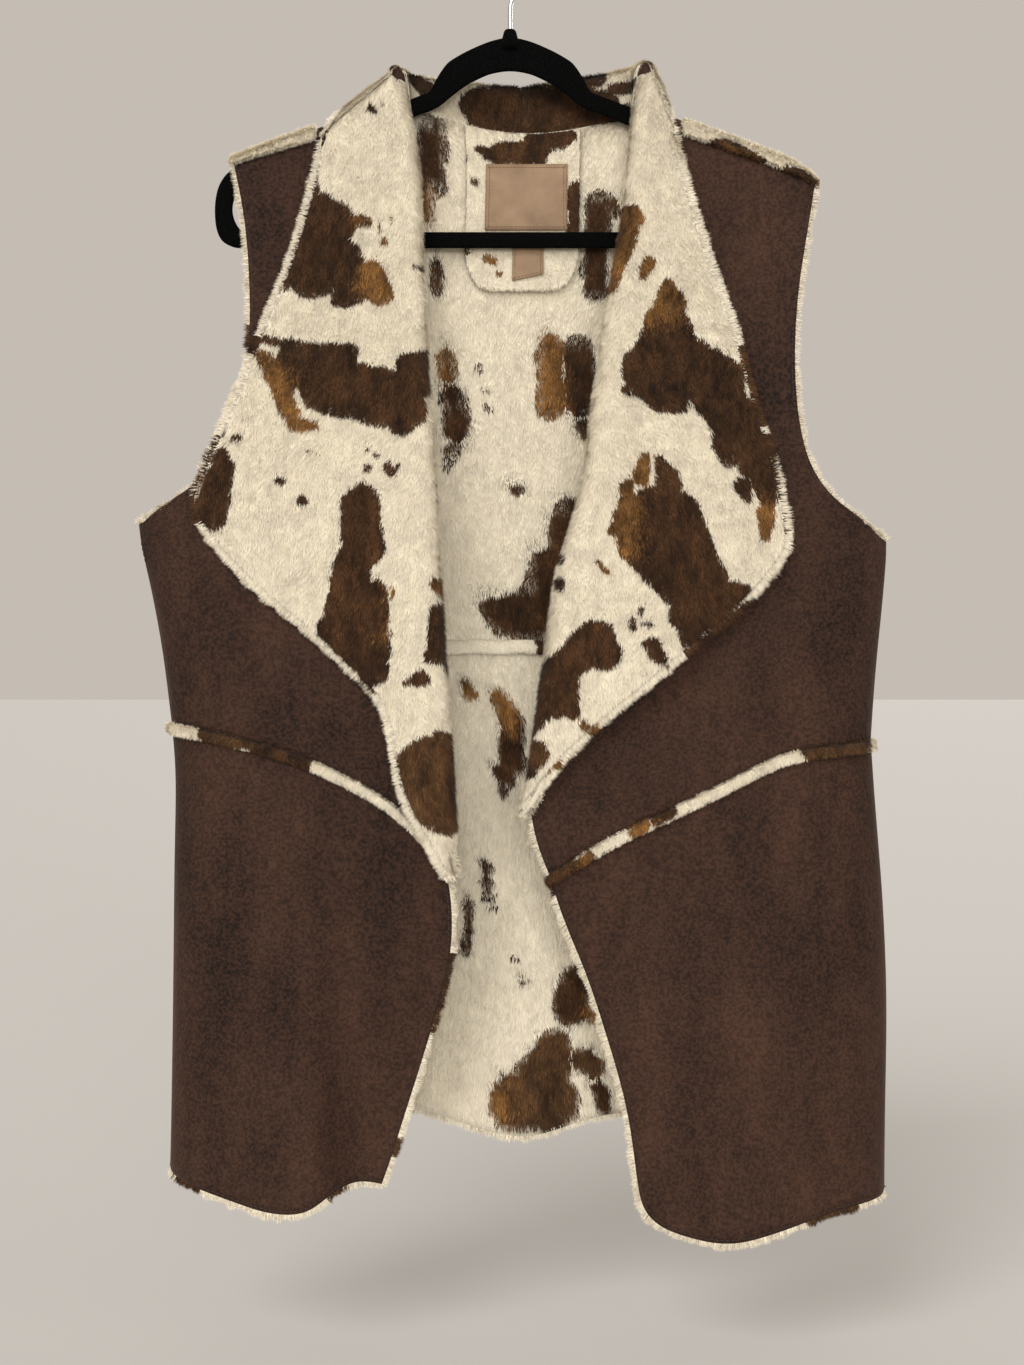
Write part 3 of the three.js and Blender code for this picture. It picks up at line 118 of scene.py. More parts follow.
# The cow print by part and colour. Each lobe runs from one disc to another: x, z and radius of
# both, in millimetres.
LOBES = {
    ("front_right", "dark"): (
        (-213, -392, 5, -228, -436, 9), (-143, -204, 12.6, -135, -217, 20),
        (-135, -217, 18.9, -147, -255, 20), (-124, -215, 8.4, -111, -216, 3.4),
        (-126, -248, 17.9, -116, -263, 15.8), (-147, -192, 5.9, -168, -259, 8),
        (-153, -263, 10.5, -147, -271, 5.9), (-128, -275, 6.3, -119, -278, 4.6),
        (-188, -303, 3.4, -162, -309, 4.6), (-158, -322, 16.4, -135, -334, 21),
        (-135, -319, 10.1, -120, -317, 8.8), (-135, -341, 22.1, -97, -349, 22.1),
        (-97, -349, 22.1, -80, -359, 17.9), (-74, -326, 10.5, -61, -324, 9.7),
        (-72, -339, 15.8, -59, -332, 10.1), (-80, -370, 10.1, -76, -362, 11.6),
        (-212, -377, 2.9, -212, -378, 2.5), (-203, -379, 3.8, -201, -379, 2.9),
        (-216, -394, 4.6, -225, -439, 9.7), (-212, -402, 8.4, -218, -439, 9.2),
        (-171, -412, 3.2, -167, -413, 3.2), (-153, -426, 4.4, -152, -426, 3.6),
        (-105, -389, 2.7, -105, -389, 2.5), (-98, -393, 2.9, -96, -393, 2.5),
        (-105, -403, 2.7, -104, -403, 2.5), (-89, -401, 2.7, -86, -407, 2.9),
        (-82, -401, 2.1, -85, -406, 2.1), (-71, -251, 1.3, -61, -255, 2.5), (-53, -415, 2.9, -52, -418, 2.1),
        (-109, -430, 15.4, -108, -460, 16.3), (-115, -471, 14.6, -118, -508, 20.3),
        (-98, -493, 9.8, -98, -538, 11.4), (-127, -519, 14.6, -102, -549, 14.6),
        (-52, -509, 7.3, -51, -539, 9.8), (-58, -541, 4.9, -59, -543, 3.3), (-46, -548, 4.9, -43, -554, 4.1),
        (-77, -560, 3.7, -64, -557, 4.9), (-43, -631, 9.8, -41, -648, 8.1),
        (-105, -130, 2.4, -101, -132, 1.6), (-95, -127, 1.6, -94, -128, 1.6),
    ),
    ("front_right", "brown"): (
        (-67, -623, 20.3, -50, -613, 17.9), (-83, -625, 8.9, -74, -632, 16.3),
        (-66, -641, 22.8, -47, -650, 21.1), (-50, -660, 9.8, -46, -665, 7.3),
    ),
    ("front_right", "tan"): (
        (-110, -216, 4.2, -105, -217, 2.1), (-102, -255, 8.8, -94, -273, 8.4),
        (-109, -265, 5.3, -97, -278, 3.8), (-90, -212, 1.5, -88, -217, 1.5),
        (-97, -220, 1.3, -96, -224, 1.1), (-94, -229, 1.5, -93, -233, 1.1), (-192, -312, 4.2, -185, -317, 5),
        (-176, -334, 5.5, -162, -359, 7.6), (-160, -368, 5.5, -143, -370, 3.8),
        (-181, -320, 6.3, -166, -343, 7.6), (-148, -390, 1.3, -140, -393, 0.8),
        (-85, -492, 3.3, -86, -498, 2.4), (-88, -524, 3.3, -90, -526, 2.4), (-55, -487, 4.9, -49, -493, 6.5),
    ),
    ("front_left", "dark"): (
        (82, -210, 3.3, 91, -209, 2.9), (77, -233, 3.7, 74, -255, 2.9), (118, -299, 19, 103, -316, 14.9),
        (99, -327, 18.2, 118, -344, 19), (90, -342, 5.8, 84, -344, 3.3), (123, -319, 22.3, 153, -336, 20.7),
        (118, -353, 9.3, 120, -357, 5.8), (150, -346, 18.2, 167, -366, 19), (157, -383, 9.3, 161, -396, 5.8),
        (172, -380, 19, 181, -398, 13.7), (171, -415, 7, 175, -425, 4.1), (185, -406, 10.8, 190, -427, 7.9),
        (157, -325, 7.9, 169, -333, 7.4), (109, -396, 3.3, 116, -415, 10.8),
        (111, -450, 34.9, 128, -478, 27.6), (128, -478, 27.6, 142, -501, 23.5),
        (131, -512, 16.2, 133, -527, 9.7), (151, -497, 14.6, 173, -492, 5.7), (38, -467, 2.4, 38, -471, 2.4),
        (37, -488, 2.8, 37, -491, 2.4), (46, -423, 3.2, 45, -427, 2.4), (52, -394, 2.8, 52, -398, 2.4),
        (49, -408, 2, 49, -412, 2), (97, -507, 3.4, 97, -508, 3.2), (89, -516, 2.9, 89, -518, 2.8),
        (100, -517, 3.2, 103, -518, 3.2), (104, -533, 5.7, 109, -543, 5.7), (63, -532, 17.8, 69, -539, 12.2),
        (52, -536, 14.6, 44, -545, 13), (38, -551, 13.8, 34, -570, 16.2), (34, -570, 14.6, 44, -580, 7.3),
        (26, -574, 11.4, 17, -591, 5.7), (15, -591, 4.9, 11, -605, 3.2),
    ),
    ("front_left", "brown"): (
        (19, -610, 6.5, 13, -625, 6.5), (24, -613, 4.1, 21, -619, 4.9),
    ),
    ("front_left", "tan"): (
        (90, -214, 9.5, 82, -239, 10.3), (82, -239, 10.3, 75, -265, 5), (103, -248, 3.7, 97, -257, 4.1),
        (118, -265, 5.4, 119, -278, 14.5), (107, -287, 6.2, 102, -293, 4.1),
        (188, -435, 8.7, 188, -454, 3.7), (99, -396, 4.1, 96, -410, 6.2), (87, -414, 3.3, 85, -419, 4.6),
        (81, -448, 9.7, 86, -461, 7.3), (87, -431, 9.7, 83, -446, 9.7), (64, -472, 1.5, 70, -479, 1.8),
        (54, -591, 3.2, 59, -594, 3.2),
    ),
    ("inside", "dark"): (
        (44, -429, 10.1, 42, -452, 15.2), (32, -472, 16.9, 27, -498, 23.6), (-4, -509, 16.9, 27, -510, 23.6),
        (-14, -503, 8.4, -9, -510, 10.1), (2, -592, 10.1, 2, -623, 10.1), (-2, -630, 7.6, -5, -646, 4.2),
        (-11, -627, 4.2, -8, -632, 5.1), (-25, -318, 2.5, -23, -321, 2.5), (-20, -337, 2.1, -18, -338, 2.1),
        (-18, -350, 2.5, -15, -352, 2.5), (3, -413, 3, 8, -413, 3), (-20, -699, 3, -16, -704, 3.4),
        (-19, -713, 3.4, -16, -716, 3), (-18, -724, 3.4, -14, -727, 3.4), (-15, -734, 2.5, -12, -735, 2.5),
        (2, -773, 2.5, 5, -774, 2.5), (11, -791, 3.4, 15, -790, 2.5), (-32, -732, 4.2, -34, -767, 3.4),
        (-44, -344, 11.8, -41, -364, 11), (-45, -383, 7.6, -48, -395, 3.4),
        (-61, -153, 12.6, -58, -184, 10.1), (-58, -244, 4.2, -57, -262, 4.2),
        (51, -307, 11.8, 55, -345, 13.5), (55, -364, 6.7, 57, -370, 4.2), (69, -196, 11.8, 66, -222, 11.8),
        (61, -245, 10.1, 67, -261, 7.6), (50, -793, 13.5, 46, -809, 15.2), (69, -874, 5.9, 74, -897, 5.1),
        (-58, -138, 10.3, -58, -172, 7.3), (-56, -242, 4.4, -56, -260, 4.4), (74, -201, 10.3, 65, -213, 7.3),
        (65, -233, 8.8, 64, -260, 8.8),
    ),
    ("inside", "brown"): (
        (34, -839, 13.5, 23, -866, 23.6), (8, -878, 20.2, 38, -882, 16.9), (-4, -897, 8.4, 38, -901, 6.7),
        (57, -851, 10.1, 66, -855, 8.4),
    ),
    ("inside", "tan"): (
        (-33, -560, 3.4, -30, -569, 4.2), (-8, -573, 7.6, -2, -586, 10.1), (-49, -313, 8.4, -46, -323, 8.4),
        (-61, -192, 6.7, -63, -207, 3.4), (31, -303, 10.1, 31, -347, 12.6), (-8, -870, 6.7, -10, -889, 6.7),
        (60, -814, 3.4, 63, -819, 3.4), (-59, -191, 4.4, -60, -206, 2.6),
    ),
    ("edge", "dark"): (
        (131, -536, 6.6, 179, -504, 6.6), (111, -547, 2.2, 114, -549, 2.2),
        (-129, -169, 5.9, -166, -279, 6.6), (-196, -301, 5.9, -188, -312, 5.9),
        (-214, -383, 4.4, -232, -438, 6.6), (-142, -515, 6.6, -90, -567, 6.6),
        (186, -383, 5.9, 196, -449, 6.6), (170, -316, 4.4, 183, -368, 5.9),
        (-251, -923, 4.4, -233, -938, 4.4), (-127, -938, 5.2, -106, -938, 5.2),
        (-83, -903, 5.9, -83, -921, 5.9), (-47, -766, 6.6, -52, -822, 6.6), (27, -707, 4.4, 34, -741, 3.7),
    ),
    ("edge", "brown"): (
        (-197, -296, 3.7, -197, -304, 3.7), (-183, -958, 5.9, -149, -961, 5.9),
        (-35, -718, 3.7, -36, -735, 3.7), (107, -967, 6.6, 131, -978, 5.9), (223, -958, 6.6, 251, -949, 6.6),
    ),
    ("edge", "tan"): (
        (55, -591, 3.7, 61, -595, 4.4), (24, -626, 4.4, 34, -619, 4.4), (13, -638, 2.2, 15, -639, 2.2),
        (-134, -947, 3, -133, -948, 3), (167, -976, 3.7, 176, -975, 3.7),
    ),
    ("neck", "dark"): (
        (-24, -117, 15.3, -21, -129, 10.7), (-2, -120, 21.4, 53, -124, 21.4),
        (69, -123, 15.3, 73, -144, 10.7), (60, -95, 9.2, 69, -98, 6.1), (79, -107, 5.3, 96, -110, 4.6),
        (88, -122, 3.8, 86, -127, 3.1), (-75, -101, 3.8, -63, -109, 6.1), (-8, -138, 7.6, 61, -139, 9.2),
    ),
    ("neck", "brown"): (
        (8, -110, 6.1, 14, -132, 3.8),
    ),
    ("facing", "dark"): (
        (-23, -154, 4.4, -8, -161, 7.3), (-8, -157, 10.2, 18, -157, 11), (18, -149, 8.8, 45, -145, 5.9),
        (51, -187, 7.3, 51, -217, 7.3), (-28, -179, 3.8, -26, -180, 3.2), (-34, -232, 2.9, -34, -233, 2.9),
        (-34, -162, 2, -34, -163, 2),
    ),
    ("facing", "tan"): (
        (-18, -239, 3.2, -12, -242, 3.5), (-9, -251, 2.3, -7, -251, 2), (-39, -173, 2.9, -38, -176, 2.9),
    ),
    ("strip", "dark"): (
        (23, -710, 8.1, 46, -697, 8.1), (107, -661, 5.9, 118, -656, 5.1), (-191, -605, 8.1, -153, -620, 8.1),
        (177, -169, 8, 185, -173, 8),
    ),
    ("strip", "brown"): (
        (222, -614, 8.1, 262, -606, 8.1), (-224, -599, 7.4, -191, -604, 8.1), (156, -160, 9, 168, -165, 9),
        (209, -181, 9, 224, -190, 9),
    ),
    ("strip", "tan"): (
        (54, -692, 5.1, 58, -689, 4.4), (91, -670, 4.4, 99, -665, 5.1), (168, -166, 9, 172, -167, 9),
    ),
}
TINTS = {
    "cream": np.array([0.94, 0.85, 0.675]),
    "dark": np.array([0.062, 0.0275, 0.0100]),
    "brown": np.array([0.088, 0.042, 0.016]),
    "tan": np.array([0.20, 0.094, 0.026]),
}
BLEND = {"dark": 0.6, "brown": 1.4, "tan": 4.5}  # how far two colours mix, in millimetres
OUTSIDE = -99.0  # what a place far from every lobe counts as


# How far inside the nearest lobe each place is, in millimetres
def cover(lobes, x, z):
    best = np.full(len(x), OUTSIDE)
    for x0, z0, r0, x1, z1, r1 in lobes:
        dx, dz = x1 - x0, z1 - z0
        along = np.clip(((x - x0) * dx + (z - z0) * dz) / max(dx * dx + dz * dz, 1e-9), 0, 1)
        away = np.hypot(x - x0 - dx * along, z - z0 - dz * along)
        best = np.maximum(best, r0 + (r1 - r0) * along - away)
    return best


# The print's colour at each point. The herd is a free pattern, for the sides that the view hides.
def print_colours(points, table, seed):
    x, z = points[:, 0] * 1000, points[:, 2] * 1000
    rng = np.random.default_rng(seed)
    ragged = 2.0 * noise(points, 0.013, 5) + 1.1 * noise(points, 0.0045, 6)
    ragged += rng.normal(0, 0.6, len(points))
    if table == "herd":
        spread = noise(points, 0.075, 11) + 0.35 * noise(points, 0.03, 12)
        masks = {"dark": (spread - 0.32) * 60, "brown": np.full(len(x), OUTSIDE)}
        masks["tan"] = np.where(masks["dark"] > -3, (noise(points, 0.05, 13) - 0.45) * 40, OUTSIDE)
    else:
        masks = {kind: cover(LOBES.get((table, kind), ()), x, z) for kind in BLEND}
    colours = np.tile(TINTS["cream"], (len(points), 1))
    for kind, soft in BLEND.items():
        mask = masks[kind] + ragged
        on_cream = colours[:, 0] > 0.5
        over = np.where(on_cream, mask > 0, mask + rng.normal(0, soft, len(points)) > 0)
        colours[over] = TINTS[kind]
    combed = points * (1, 1, 0.5)
    large, small = noise(combed, 0.009, 21)[:, None], noise(combed, 0.0028, 22)[:, None]
    in_dark = np.clip(1 + 0.55 * large + 0.45 * small, 0.3, 2)
    in_cream = 1 + 0.05 * large + 0.08 * small
    return colours * np.where(colours[:, :1] < 0.5, in_dark, in_cream)


def search_tree(mesh):
    return BVHTree.FromPolygons([v.co for v in mesh.vertices], [tuple(p.vertices) for p in mesh.polygons])


PANELS = {
    # rolled: the pile is on the outside of a roll; suede: which way along Y the suede faces
    "right_front_upper": {"rolled": False, "suede": -1, "levels": 2},
    "left_front_upper": {"rolled": False, "suede": -1, "levels": 2},
    "right_front_lower": {"rolled": False, "suede": -1, "levels": 2},
    "left_front_lower": {"rolled": False, "suede": -1, "levels": 2},
    "back_upper": {"rolled": False, "suede": 1, "levels": 1},
    "back_lower": {"rolled": False, "suede": 1, "levels": 2},
    "right_collar": {"rolled": True, "suede": 1, "levels": 1},
    "left_collar": {"rolled": True, "suede": 1, "levels": 1},
}
trees = {node: search_tree(frame["nodes"][node].data) for node in PANELS}
hanger_tree = search_tree(frame["nodes"]["hanger_body"].data)


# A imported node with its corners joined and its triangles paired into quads
def welded(node):
    bm = bmesh.new()
    bm.from_mesh(frame["nodes"][node].data)
    bmesh.ops.remove_doubles(bm, verts=bm.verts, dist=2e-6)
    bmesh.ops.join_triangles(
        bm, faces=bm.faces, cmp_seam=False, cmp_sharp=False, cmp_uvs=False, cmp_vcols=False,
        cmp_materials=False, angle_face_threshold=math.radians(50),
        angle_shape_threshold=math.radians(60))
    bm.normal_update()
    return bm


# Groups of faces that meet at less than an angle, the largest first
def face_groups(faces, limit):
    inside = set(faces)
    seen = set()
    groups = []
    for start in faces:
        if start in seen:
            continue
        members, todo = [], [start]
        seen.add(start)
        while todo:
            f = todo.pop()
            members.append(f)
            for e in f.edges:
                if e.calc_face_angle(math.pi) > limit:
                    continue
                for other in e.link_faces:
                    if other in inside and other not in seen:
                        seen.add(other)
                        todo.append(other)
        groups.append(members)
    return sorted(groups, key=lambda g: -sum(f.calc_area() for f in g))


# A face on a panel's rim is as tall as the wall is thick and has sharp edges
def on_rim(face):
    across = any(abs(e.calc_length() - WALL) < 6e-6 for e in face.edges)
    sharp = sum(e.calc_face_angle(math.pi) > math.radians(45) for e in face.edges)
    return across and sharp >= (2 if len(face.verts) == 4 else 1)


def away_from_hanger(faces):
    total = 0
    for f in faces:
        spot = f.calc_center_median()
        total += f.normal.dot(spot - hanger_tree.find_nearest(spot)[0]) * f.calc_area()
    return total > 0


def is_sewn(spot, gap):
    off = abs(spot.x - MIDDLE_X)
    return gap < SEAM_REACH or any(
        zone["near"] < off < zone["far"] and abs(spot.y) < zone["deep"] and gap < zone["reach"]
        for zone in SEAM_ZONES)


# Gives each face of a panel its side of the cloth
def sort_sides(bm, node, panel):
    walls = [f for f in bm.faces if not on_rim(f)]
    groups = face_groups(walls, math.radians(58))
    first, second = groups[:2]
    if panel["rolled"]:
        top = [max(v.co.z for f in g for v in f.verts) for g in (first, second)]
        pile, suede = (first, second) if top[0] > top[1] else (second, first)
    else:
        facing = sum(f.normal.y for f in first if abs(f.calc_center_median().x) > 0.225)
        suede, pile = (first, second) if facing * panel["suede"] > 0 else (second, first)
    side = {f: SUEDE for f in suede}
    side.update({f: PILE for f in pile})
    for g in groups[2:]:
        if sum(f.calc_area() for f in g) > 5e-4:
            side.update({f: SUEDE if away_from_hanger(g) else PILE for f in g})
    for _ in range(6):
        for f in [f for f in walls if f not in side]:
            flat = [e for e in f.edges if e.calc_face_angle(math.pi) < math.radians(35)]
            known = [side[o] for e in flat for o in e.link_faces if o in side]
            if known:
                side[f] = known[0]
    others = [t for name, t in trees.items() if name != node]
    for f in bm.faces:
        if f not in side:
            spot = f.calc_center_median()
            gap = min((t.find_nearest(spot, 0.01)[3] or 1.0) for t in others)
            side[f] = SEAM if is_sewn(spot, gap) else EDGE
        f.material_index = side[f]
        f.smooth = True


# Brings the suede of a front and of the back together along the side seam
def close_sides(bm, suede_faces):
    meet = suede_faces * SIDE_SEAM["meet"]
    for hand in (-1, 1):
        line = []
        for v in bm.verts:
            kinds = {f.material_index for f in v.link_faces}
            rims = [f for f in v.link_faces if f.material_index in (SEAM, EDGE)]
            facing = any(f.normal.y * suede_faces < -0.5 for f in rims)
            out = abs(v.co.x - MIDDLE_X) > SIDE_SEAM["out"] and v.co.x * hand > 0
            low = SIDE_SEAM["foot"] < v.co.z < SIDE_SEAM["top"]
            if SUEDE in kinds and facing and out and low and abs(v.co.y) < SIDE_SEAM["deep"]:
                line.append((v.co.z, v.co.x, v.co.y))
        if len(line) < 2:
            continue
        zs, xs, ys = zip(*sorted(line))
        for v in bm.verts:
            if v.co.x * hand < 0.2:
                continue
            aside = abs(v.co.x - np.interp(v.co.z, zs, xs))
            beyond = max(0.0, v.co.z - zs[-1], zs[0] - v.co.z)
            near = max(0.0, 1 - aside / SIDE_SEAM["ease"]) * max(0.0, 1 - beyond / SIDE_SEAM["ease"])
            v.co.y -= (np.interp(v.co.z, zs, ys) - meet) * near * near * (3 - 2 * near)


# Draws the pile's side in to its backing and the cut edges in from the pile's reach
def thin_cloth(bm, drop, inset):
    crease = bm.edges.layers.float.new("crease_edge")
    moves = {}
    for v in bm.verts:
        pile = [f for f in v.link_faces if f.material_index == PILE]
        edge = [f for f in v.link_faces if f.material_index == EDGE]
        move = Vector()
        if pile:
            move -= sum((f.normal * f.calc_area() for f in pile), Vector()).normalized() * drop
        if edge:
            move -= sum((f.normal for f in edge), Vector()).normalized() * inset
        moves[v] = move
    for e in bm.edges:
        kinds = {f.material_index for f in e.link_faces}
        sharp = len(e.link_faces) == 2 and e.calc_face_angle(0) > math.radians(56)
        e[crease] = 1.0 if (kinds & {SEAM, EDGE} and kinds & {SUEDE, PILE}) or sharp else 0.0
    for v, move in moves.items():
        v.co += move
    bm.normal_update()


def fold_weights(bm, weight):
    crease = bm.edges.layers.float.new("crease_edge")
    for e in bm.edges:
        e[crease] = weight if e.calc_face_angle(0) > math.radians(50) else 0.0


def new_object(name, data):
    obj = bpy.data.objects.new(name, data)
    bpy.context.scene.collection.objects.link(obj)
    return obj


# The mesh that an object's modifiers or curve make
def final_mesh(obj):
    return bpy.data.meshes.new_from_object(obj.evaluated_get(bpy.context.evaluated_depsgraph_get()))


# A smoothed object from a form, with its one material in each slot
def subdivided(bm, name, levels, materials):
    mesh = bpy.data.meshes.new(name)
    bm.to_mesh(mesh)
    bm.free()
    obj = new_object(name, mesh)
    smooth = obj.modifiers.new("smooth", "SUBSURF")
    smooth.levels = smooth.render_levels = levels
    made = final_mesh(obj)
    obj.modifiers.clear()
    obj.data = made
    bpy.data.meshes.remove(mesh)
    made.name = name
    for mat in materials:
        made.materials.append(MATERIALS[mat])
    return obj


# A mesh as arrays: vertices, their normals, triangles and the side each triangle is on
def arrays(obj):
    mesh = obj.data
    mesh.calc_loop_triangles()
    points = np.empty(len(mesh.vertices) * 3)
    mesh.vertices.foreach_get("co", points)
    normals = np.empty(len(mesh.vertices) * 3)
    mesh.vertex_normals.foreach_get("vector", normals)
    corners = np.empty(len(mesh.loop_triangles) * 3, np.int32)
    mesh.loop_triangles.foreach_get("vertices", corners)
    polygon = np.empty(len(mesh.loop_triangles), np.int32)
    mesh.loop_triangles.foreach_get("polygon_index", polygon)
    sides = np.empty(len(mesh.polygons), np.int32)
    mesh.polygons.foreach_get("material_index", sides)
    return points.reshape(-1, 3), normals.reshape(-1, 3), corners.reshape(-1, 3), sides[polygon]


def mesh_of(name, points, triangles, colours=None):
    mesh = bpy.data.meshes.new(name)
    mesh.vertices.add(len(points))
    mesh.vertices.foreach_set("co", np.ascontiguousarray(points, np.float32).ravel())
    mesh.loops.add(triangles.size)
    mesh.loops.foreach_set("vertex_index", np.ascontiguousarray(triangles, np.int32).ravel())
    mesh.polygons.add(len(triangles))
    mesh.polygons.foreach_set("loop_start", np.arange(0, triangles.size, 3, dtype=np.int32))
    mesh.update(calc_edges=True)
    if colours is not None:
        add_tint(mesh, colours)
    return mesh


def add_tint(mesh, colours):
    tint = mesh.color_attributes.new(name="tint", type="FLOAT_COLOR", domain="POINT")
    rgba = np.ones((len(colours), 4), np.float32)
    rgba[:, :3] = np.clip(colours, 0, 1)
    tint.data.foreach_set("color", rgba.ravel())


# The lines where one side of the cloth meets another, as rows of points with the way outwards
def border_lines(obj, inner, outer):
    mesh = obj.data
    sides = [p.material_index for p in mesh.polygons]
    faces_of = {}
    for p in mesh.polygons:
        for key in p.edge_keys:
            faces_of.setdefault(key, []).append(p.index)
    links = {}
    outward = {}
    for (a, b), faces in faces_of.items():
        if len(faces) != 2 or {sides[faces[0]], sides[faces[1]]} != {inner, outer}:
            continue
        links.setdefault(a, []).append(b)
        links.setdefault(b, []).append(a)
        rim = faces[0] if sides[faces[0]] == outer else faces[1]
        for v in (a, b):
            outward[v] = outward.get(v, Vector()) + mesh.polygons[rim].normal
    lines = []
    left = set(links)
    starts = sorted(v for v in links if len(links[v]) == 1) + sorted(links)
    for start in starts:
        if start not in left:
            continue
        line = [start]
        left.discard(start)
        while True:
            onward = [v for v in links[line[-1]] if v in left]
            if not onward:
                break
            line.append(onward[0])
            left.discard(onward[0])
        if len(line) > 2:
            places = np.array([mesh.vertices[v].co for v in line])
            away = unit(np.array([outward[v] for v in line]))
            up = np.array([mesh.vertices[v].normal for v in line])
            lines.append((places, away, up))
    return lines


# A line's points, ways outwards and normals at even steps along it
def walked(line, step):
    places = line[0]
    lengths = np.concatenate([[0], np.cumsum(np.linalg.norm(np.diff(places, axis=0), axis=1))])
    at = np.arange(step / 2, lengths[-1], step)
    return [np.stack([np.interp(at, lengths, part[:, k]) for k in range(3)], axis=1) for part in line]


NO_BORDER = 0.02  # counts as this far where there is no border


def nearest_of(lines, step):
    rows = [walked(line, step) for line in lines]
    if not rows:
        return None
    places = np.concatenate([r[0] for r in rows])
    tree = KDTree(len(places))
    for i, p in enumerate(places):
        tree.insert(p, i)
    tree.balance()
    return tree, unit(np.concatenate([r[1] for r in rows]))


# How far each root is from a border, and which way outwards is there
def reach_of(roots, nearest):
    if nearest is None:
        return np.full(len(roots), NO_BORDER), np.zeros((len(roots), 3))
    tree, away = nearest
    found = [tree.find(p) for p in roots]
    return np.array([f[2] for f in found]), away[[f[1] for f in found]]


# Low folds and creases that move both faces of a panel together and fade out at its seams
def wrinkle(obj, folds):
    points, normals, triangles, sides = arrays(obj)
    turn = np.zeros(len(points))
    for kind, sign in ((SUEDE, 1.0), (PILE, -1.0)):
        turn[triangles[sides == kind]] = sign
    for kind in (SEAM, EDGE):
        turn[triangles[sides == kind]] = 0.0
    borders = [(inner, outer) for inner in (SUEDE, PILE) for outer in (EDGE, SEAM)]
    lines = [line for border in borders for line in border_lines(obj, *border)]
    far, _ = reach_of(points, nearest_of(lines, 0.004))
    height = np.zeros(len(points))
    for lean, across, down, high, seed in folds:
        c = math.cos(math.radians(lean))
        s = math.sin(math.radians(lean))
        x = points[:, 0] * c + points[:, 2] * s
        z = points[:, 2] * c - points[:, 0] * s
        field = noise(np.stack([x / across, points[:, 1] / 0.2, z / down], axis=1), 1.0, seed)
        height += high * np.where(field > 0.2, field - 0.2, 0.25 * (field - 0.2))
    fade = np.clip((far - 0.004) / 0.03, 0, 1)
    points += normals * (turn * height * fade * fade * (3 - 2 * fade))[:, None]
    obj.data.vertices.foreach_set("co", points.ravel())
    obj.data.update()


# Points spread over triangles by their area times a weight, with flat and smooth normals there
def scatter(points, normals, triangles, weights, count, rng):
    a, b, c = (points[triangles[:, k]] for k in range(3))
    area = np.linalg.norm(np.cross(b - a, c - a), axis=1) / 2 * weights
    picked = rng.choice(len(triangles), count, p=area / area.sum())
    u, v = rng.random(count), rng.random(count)
    flip = u + v > 1
    u[flip], v[flip] = 1 - u[flip], 1 - v[flip]
    blend = np.stack([1 - u - v, u, v], axis=1)[:, :, None]
    corners = triangles[picked]
    facing = unit(np.cross(b - a, c - a))[picked]
    return (points[corners] * blend).sum(axis=1), facing, unit((normals[corners] * blend).sum(axis=1))


# Fields of soft directions, one per seed
def swirl(points, size, seeds):
    return np.stack([noise(points, size, seed) for seed in seeds], axis=1)


# Each hair is one narrow triangle
def hairs(roots, normals, leans, lengths, widths):
    across = unit(np.cross(leans, normals)) * (widths / 2)[:, None]
    points = np.stack([roots - across, roots + across, roots + leans * lengths[:, None]], axis=1)
    triangles = np.arange(len(roots) * 3, dtype=np.int32).reshape(-1, 3)
    facing = np.cross(points[:, 1] - points[:, 0], points[:, 2] - points[:, 0])
    turned = (facing * normals).sum(axis=1) < 0
    triangles[turned] = triangles[turned][:, ::-1]
    return points.reshape(-1, 3), triangles


NAP = np.array([0.0, 0.0, -1.0])
HAIR_WIDTH = (0.00045, 0.0009)
HAIR_LENGTH = (0.0036, 0.0056)
BRIM_LENGTH = (0.0024, 0.0058)
GROOVE = {"stitched": 0.0007, "sewn": 0.0012}  # how wide the pile lies low and is painted darker as painted shade


def flat_to(v, normals):
    return unit(v - normals * (v * normals).sum(axis=1, keepdims=True))


# Inside a sharp fold a hair ends before it meets the cloth again
def short_of_cloth(obj, starts, leans, lengths):
    tree = search_tree(obj.data)
    kept = lengths.copy()
    for k, (start, lean, length) in enumerate(zip(starts.tolist(), leans.tolist(), lengths.tolist())):
        distance = tree.ray_cast(start, lean, length + 0.0006)[3]
        if distance is not None:
            kept[k] = max(0.7 * distance - 0.0003, 0.0004)
    return kept
